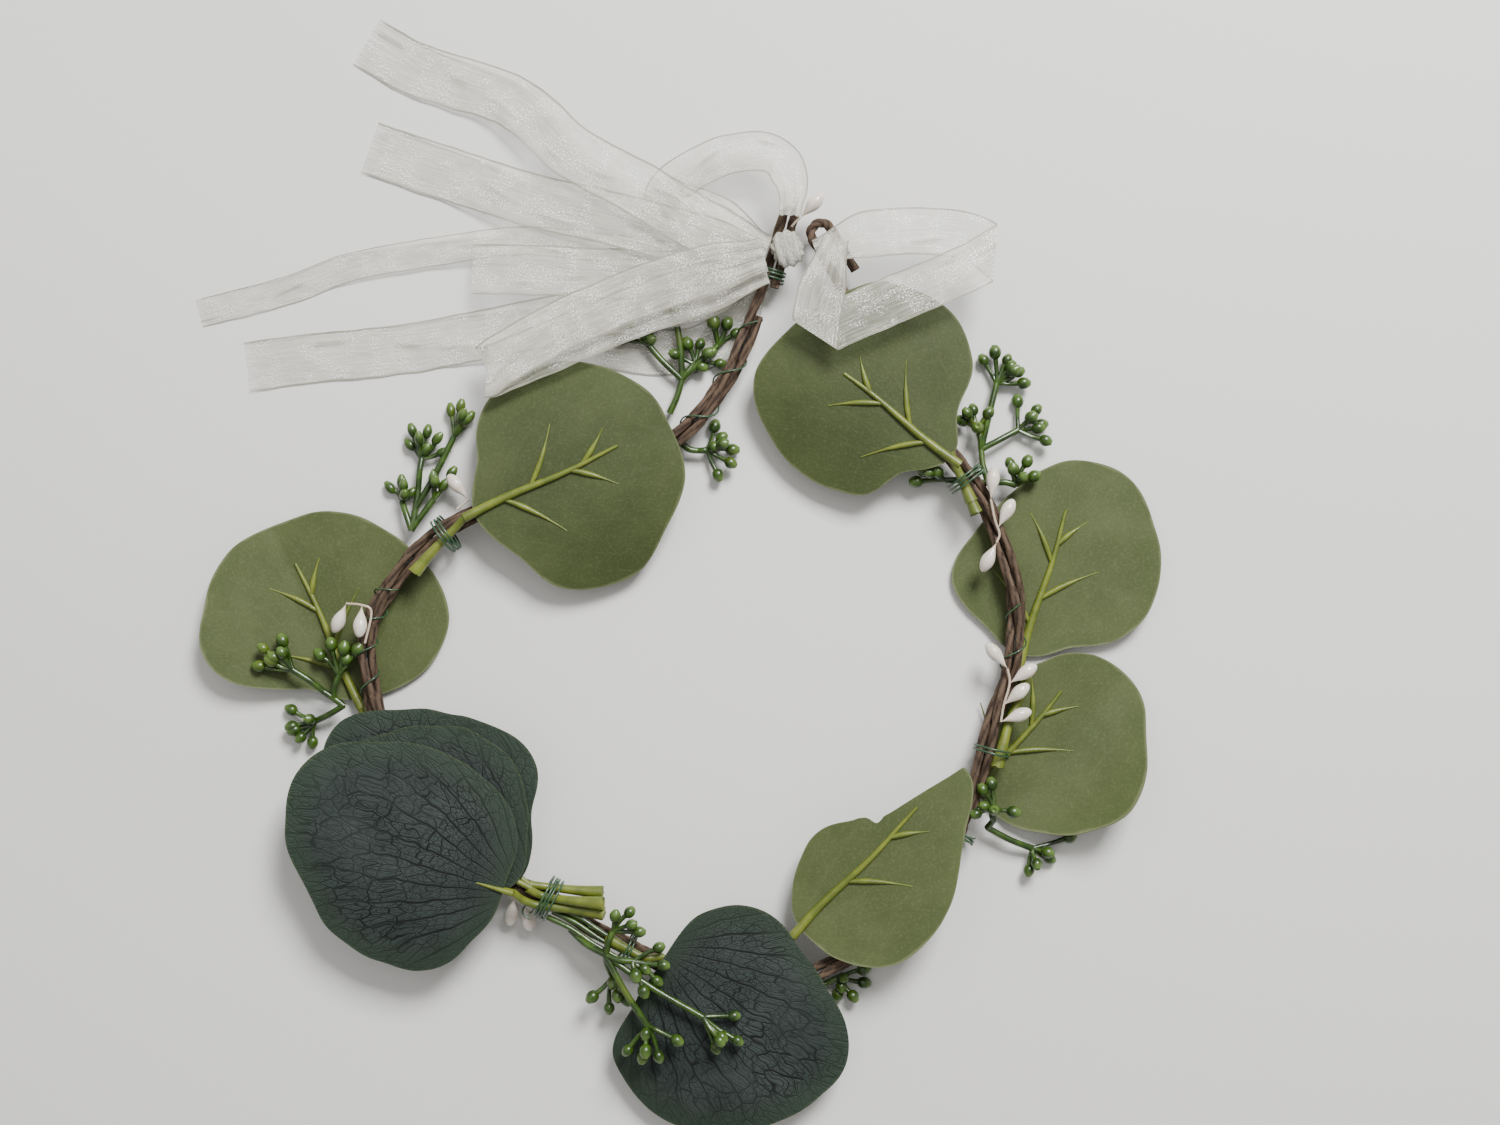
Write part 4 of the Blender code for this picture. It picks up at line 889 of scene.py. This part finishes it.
# binding wire: place on the hoop, centre off the hoop's (outwards, up), radius, turns
wraps = {
    "top_left": ((-63.5, 11.2), -1.3, 1.3, 5.2, 3), "front": ((-36.0, -90.6), -0.7, 1.7, 5.9, 4),
    "bottom_left": ((-13.0, -104.6), -0.2, 1.7, 4.9, 2), "bottom": ((18.0, -114.0), -1.7, -1.25, 5.3, 2),
    "right_low": ((77.6, -72.6), 0.0, -1.3, 5.1, 2), "right_mid": ((85.4, -49.5), 1.45, 1.4, 5.0, 2),
    "top_right": ((80.6, 25.4), -0.9, 1.9, 5.3, 3)}
wire = {"radius": 0.3, "pitch": 0.95, "drift": 0.12, "steps": 20}


def makeWrap(key, centre, axis, across, radius, turns):
    up = axis.cross(across).normalized()
    path = []
    for step in range(turns * wire["steps"] + 1):
        angle = 2 * math.pi * step / wire["steps"]
        drift = wire["drift"] * math.sin(angle * 0.37 + len(key))
        shift = axis * (wire["pitch"] * (step / wire["steps"] - turns / 2) + drift)
        path.append(centre + shift + across * radius * math.cos(angle) + up * radius * math.sin(angle))
    parts = [tubeAlong("turns", path, wire["radius"], 8)]
    if key == "front":    # its end stands out in a small open loop
        curl = ((0, 0, 0), (-2.0, 3.5, 1.0), (-4.5, 4.6, 1.4), (-5.6, 2.2, 1.5), (-3.6, 0.4, 1.6))
        loose = smoothPath([path[-1] + Vector(step) for step in curl], 5)
        parts.append(tubeAlong("loop", loose, 0.28, 8))
    finished(f"wire_wrap_{key}", parts, 50, greenWire, "crown", [f"binding_wire_{key}"])


for key, (near, out, rise, radius, turns) in wraps.items():
    centre, ahead, outward, _ = min(hoopFrames(1.0), key=lambda f: (f[0].xy - Vector(near)).length)
    makeWrap(key, centre + outward * out + Vector((0, 0, rise)), ahead, outward, radius, turns)
eyeRoot, eyeHeading = hoop["leftEye"][:2]
eyeAxis = Vector((math.cos(math.radians(eyeHeading)), math.sin(math.radians(eyeHeading)), 0))
eyeCentre = Vector((*eyeRoot, hoop["height"])) + eyeAxis * 4.0
makeWrap("eye", eyeCentre, eyeAxis, Vector((eyeAxis.y, -eyeAxis.x, 0)), 3.6, 3)
print("wire made")

# ribbon: route of the middle line, full width, gathered width at the knot, and whether both ends are there
ribbons = {
    "tail_upper": ([(24.6, 86.6, 12.8), (6.4, 94.6, 12.0), (-10.4, 105.0, 10.2), (-28.6, 115.4, 7.2),
                    (-39.8, 126.0, 4.6), (-49.6, 132.2, 2.4), (-69.2, 138.6, 0.8), (-78.0, 142.6, 0.3),
                    (-87.0, 147.8, 0.3)], 15.0, 10.0, False),
    "tail_middle": ([(24.4, 85.4, 10.7), (3.6, 91.0, 9.7), (-18.8, 97.4, 7.3), (-38.4, 102.2, 4.4),
                     (-55.2, 107.8, 1.8), (-72.0, 113.4, 0.6), (-79.0, 115.8, 0.3), (-86.0, 118.2, 0.3)],
                    15.0, 10.0, False),
    "tail_narrow": ([(22.4, 84.6, 7.5), (3.6, 86.2, 6.8), (-21.6, 89.6, 5.0), (-44.0, 91.6, 3.2),
                     (-66.4, 89.0, 1.8), (-91.6, 84.6, 0.8), (-108.4, 78.4, 0.3), (-133.6, 71.8, 0.3)],
                    8.0, 4.0, False),
    "tail_short": ([(22.2, 85.8, 8.4), (6.4, 81.4, 8.2), (-16.0, 81.8, 7.1), (-35.6, 82.8, 6.5),
                    (-56.6, 83.4, 5.6)], 14.0, 9.5, False),
    "tail_lower": ([(21.4, 86.2, 6.4), (6.4, 76.0, 5.9), (-13.2, 73.0, 5.6), (-32.8, 69.6, 4.2),
                    (-58.0, 65.0, 1.2), (-77.6, 61.6, 0.3), (-100.0, 59.4, 0.3), (-120.4, 56.8, 0.3)],
                   14.0, 9.0, False),
    "tail_under": ([(24.0, 79.5, 4.2), (16.0, 68.0, 2.0), (6.0, 62.0, 0.7), (-8.0, 61.0, 0.25),
                    (-22.0, 63.5, 0.25)],
                   13.0, 4.0, False),
    "loop_lower": ([(24.4, 83.0, 11.7), (6.4, 76.8, 11.3), (-13.2, 70.0, 11.3), (-30.0, 63.0, 11.3),
                    (-45.4, 56.6, 11.5), (-51.6, 54.2, 12.3), (-46.2, 58.2, 13.3), (-30.0, 67.2, 13.5),
                    (-10.4, 75.6, 13.6), (6.4, 81.2, 13.7), (24.2, 86.0, 13.8)], 14.0, 9.5, True),
    "loop_upper": ([(24.6, 88.6, 9.8), (12.0, 97.4, 8.0), (-1.0, 102.6, 6.6), (-3.4, 104.2, 7.1),
                    (3.0, 109.4, 7.8), (15.0, 114.6, 9.0), (26.4, 114.2, 10.4), (31.8, 106.6, 12.4),
                    (31.4, 96.6, 14.2)], 11.0, 6.0, True),
    "loop_right": ([(38.4, 86.8, 13.0), (52.0, 91.4, 14.0), (68.0, 92.4, 14.0), (80.6, 90.6, 14.4),
                    (87.0, 86.2, 15.6), (77.6, 81.0, 17.2), (60.0, 73.6, 17.2), (46.0, 67.6, 17.4),
                    (38.0, 63.6, 17.8), (38.6, 70.0, 18.4), (41.0, 80.0, 18.6), (43.8, 90.0, 17.6)],
                   13.0, 7.0, True)}
foldedAt = {"loop_right": (4, 8)}    # which of a route's points are flat folds, with a sharp corner
ribbonMake = {"steps": 12, "across": 22, "opens": 16, "pleat": 0.4, "fray": 3.2, "clothWidth": 15}


def foldedPath(points, corners, wide):
    # each leg between folds is smooth; stations that would cross a fold's slanting line are left out
    path, folds = [], []
    stops = [0, *corners, len(points) - 1]
    for first, last in zip(stops, stops[1:]):
        leg = smoothPath(points[first:last + 1], ribbonMake["steps"])
        if path:
            folds.append(len(path) - 1)
            leg = leg[1:]
        path += leg
    kept, marks = [], []
    for i, point in enumerate(path):
        if i in folds:
            marks.append(len(kept))
        elif any((point - path[k]).length < wide * foldSlant(path, k)[1] for k in folds):
            continue
        kept.append(point)
    return kept, marks


def foldSlant(path, k):
    # the fold's line lies midway between the ribbon's ways in and out; the second value is how far the fold
    # reaches along the ribbon, as a share of its width
    way = (path[k] - path[k - 1]).xy.normalized()
    back = (path[k + 1] - path[k]).xy.normalized()
    line = way + back
    line = line.normalized() if line.length > 0.05 else Vector((-way.y, way.x))
    sine = max(abs(line.x * -way.y + line.y * way.x), 0.5)
    return Vector((line.x, line.y, 0)) / sine, 0.55 * abs(line.dot(way)) / sine + 0.04


def stripFrames(path, folds):
    frames = []
    across = None
    for i, point in enumerate(path):
        if i in folds:
            slant = foldSlant(path, i)[0]
            slant = -slant if slant.dot(across) < 0 else slant
            frames.append((point, slant, Vector((0, 0, 1))))
            across = slant.normalized()
            continue
        ahead = path[min(i + 1, len(path) - 1)] - path[max(i - 1, 0)]
        level = Vector((-ahead.y, ahead.x, 0))
        if i - 1 in folds:
            ahead = path[i + 1] - path[i]
            level = Vector((-ahead.y, ahead.x, 0)).normalized()
            across = -level if across.dot(level) < 0 else level
        elif level.length > 0.35 * ahead.length:
            level.normalize()
            if across is not None and across.dot(level) < 0:
                level = -level
            across = level if across is None else (across * 3 + level).normalized()
        frames.append((point, across, ahead.normalized().cross(across).normalized()))
    return frames


def makeRibbon(key, points, wide, narrow, looped):
    path, folds = foldedPath(points, foldedAt.get(key, ()), wide)
    frames = stripFrames(path, folds)
    lengths = [0.0]
    for a, b in zip(path, path[1:]):
        lengths.append(lengths[-1] + (b - a).length)
    total = lengths[-1]
    piece = gridPiece(f"organza_{key}", len(path) - 1, ribbonMake["across"])
    mesh = piece.data
    gather = mesh.attributes.new("gather", "FLOAT", "POINT")
    fray = mesh.attributes.new("fray", "FLOAT", "POINT")
    crease = mesh.attributes.new("crease", "FLOAT", "POINT")
    cloth = []
    for index, vertex in enumerate(mesh.vertices):
        i = round((vertex.co.x + 1) / 2 * (len(path) - 1))
        t = vertex.co.y
        point, across, up = frames[i]
        fromKnot = min(lengths[i], total - lengths[i]) if looped else lengths[i]
        openShare = blendTo(0, ribbonMake["opens"], fromKnot)
        width = narrow + (wide - narrow) * openShare
        pinch = noise.noise(Vector((lengths[i] / 11, 3.0 * len(key), 0.4)))
        foldLine = 0.55 * math.sin(lengths[i] / 17 + len(key))
        fold = math.exp(-((t - foldLine) / 0.09) ** 2) * blendTo(0.05, 0.35, pinch)
        pleat = ribbonMake["pleat"] * (1 - openShare) * math.sin(9 * t + 0.5 * len(key))
        sway = 0.22 * math.sin(lengths[i] / 5.5 + 2 * t + len(key)) * openShare
        sway += 0.35 * noise.noise(Vector((lengths[i] / 14, t, len(key)))) * openShare
        sideways = t * width / 2 + 0.25 * noise.noise(Vector((lengths[i] / 6, len(key), t)))
        spot = point + across * sideways + up * (pleat + 0.5 * fold) + Vector((0, 0, sway))
        spot.z = max(spot.z, 0.12 + 0.05 * (1 + math.sin(lengths[i] / 4)))
        vertex.co = at(*spot)
        gather.data[index].value = 1 - openShare
        crease.data[index].value = fold
        fray.data[index].value = 0 if looped else blendTo(total - ribbonMake["fray"], total, lengths[i])
        cloth.append((lengths[i] / ribbonMake["clothWidth"], (t + 1) / 2))
    flatMap(mesh, "cloth", cloth)
    if mesh.polygons[len(mesh.polygons) // 2].normal.z < 0:
        mesh.flip_normals()
    finished(piece.name, [piece], 70, organza, "crown",
             [] if key == "tail_under" else [f"ribbon_{key}"])


for key, (points, wide, narrow, looped) in ribbons.items():
    makeRibbon(key, points, wide, narrow, looped)


# bands: tilt in degrees, width, and size against the outermost
knotMake = {"x": 30.6, "y": 88.0, "z": 11.4, "reach": 5.0, "rise": 2.6,
            "bands": ((12, 6.5, 1.0), (62, 5.5, 0.93), (-48, 5.0, 0.86))}


def makeKnot():
    # the tied knot: folded bands of ribbon drawn round each other at different tilts
    parts = []
    for tilt, wide, grow in knotMake["bands"]:
        band = gridPiece("band", 48, 12)
        mesh = band.data
        for name, value in (("gather", 1.0), ("fray", 0.0), ("crease", 0.0)):
            made = mesh.attributes.new(name, "FLOAT", "POINT")
            for item in made.data:
                item.value = value
        turned = Matrix.Rotation(math.radians(tilt), 3, "Z")
        cloth = []
        for vertex in mesh.vertices:
            angle, t = math.pi * vertex.co.x, vertex.co.y
            fold = 0.35 * math.sin(8 * t + 3 * math.sin(angle) + tilt)
            bulge = math.sqrt(max(1 - (0.62 * t) ** 2, 0))
            reach = knotMake["reach"] * grow * bulge + fold
            spot = turned @ Vector((t * wide / 2, math.cos(angle) * reach, 0))
            cloth.append(((angle + math.pi) * 4.0 / ribbonMake["clothWidth"], (t + 1) / 2))
            height = math.sin(angle) * (knotMake["rise"] * grow * bulge + fold * 0.7)
            vertex.co = at(knotMake["x"] + spot.x, knotMake["y"] + spot.y, knotMake["z"] + height)
        flatMap(mesh, "cloth", cloth)
        facedAlike(band, closed=True)
        parts.append(band)
    knot = finished("organza_knot", parts, 70, knotOrganza, "crown", ["ribbon_knot"])


makeKnot()
print("ribbon made")

# plain table, soft light and the camera above
clearSelection()
bpy.ops.mesh.primitive_plane_add(size=4, location=(0, 0, 0))
table = bpy.context.object
table.name = "pale_table"
tableTop = Finish("paleTable", (0.68, 0.675, 0.655), 0.75)
tableTop.to("Base Color", tableTop.mix(tableTop.noise(4, 2), (0.67, 0.665, 0.645), (0.7, 0.695, 0.675)))
table.data.materials.append(tableTop.material)

lamps = {"key": ((0.36, 0.72, 0.86), 0.4, 28.0), "fill": ((-0.5, 0.5, 1.4), 1.4, 5.0)}
for name, (place, size, power) in lamps.items():
    bpy.ops.object.light_add(type="AREA", location=place)
    lamp = bpy.context.object
    lamp.name = f"{name}_lamp"
    lamp.data.size = size
    lamp.data.energy = power
    lamp.rotation_euler = (Vector((0, 0, 0)) - lamp.location).to_track_quat("-Z", "Y").to_euler()
world = bpy.context.scene.world or bpy.data.worlds.new("softRoom")
bpy.context.scene.world = world
world.use_nodes = True
world.node_tree.nodes["Background"].inputs["Color"].default_value = (1.0, 0.99, 0.965, 1)
world.node_tree.nodes["Background"].inputs["Strength"].default_value = 0.47

# in mm; span is how much of the table the view takes in from side to side
view = {"centre": (20.4, 2.1), "height": 520.0, "span": 420.0, "sensor": 36}
bpy.ops.object.camera_add(location=at(*view["centre"], view["height"]), rotation=(0, 0, 0))
camera = bpy.context.object
camera.data.sensor_width = view["sensor"]
camera.data.lens = view["sensor"] * view["height"] / view["span"]
camera.data.clip_start = 0.01
bpy.context.scene.camera = camera

print("done")
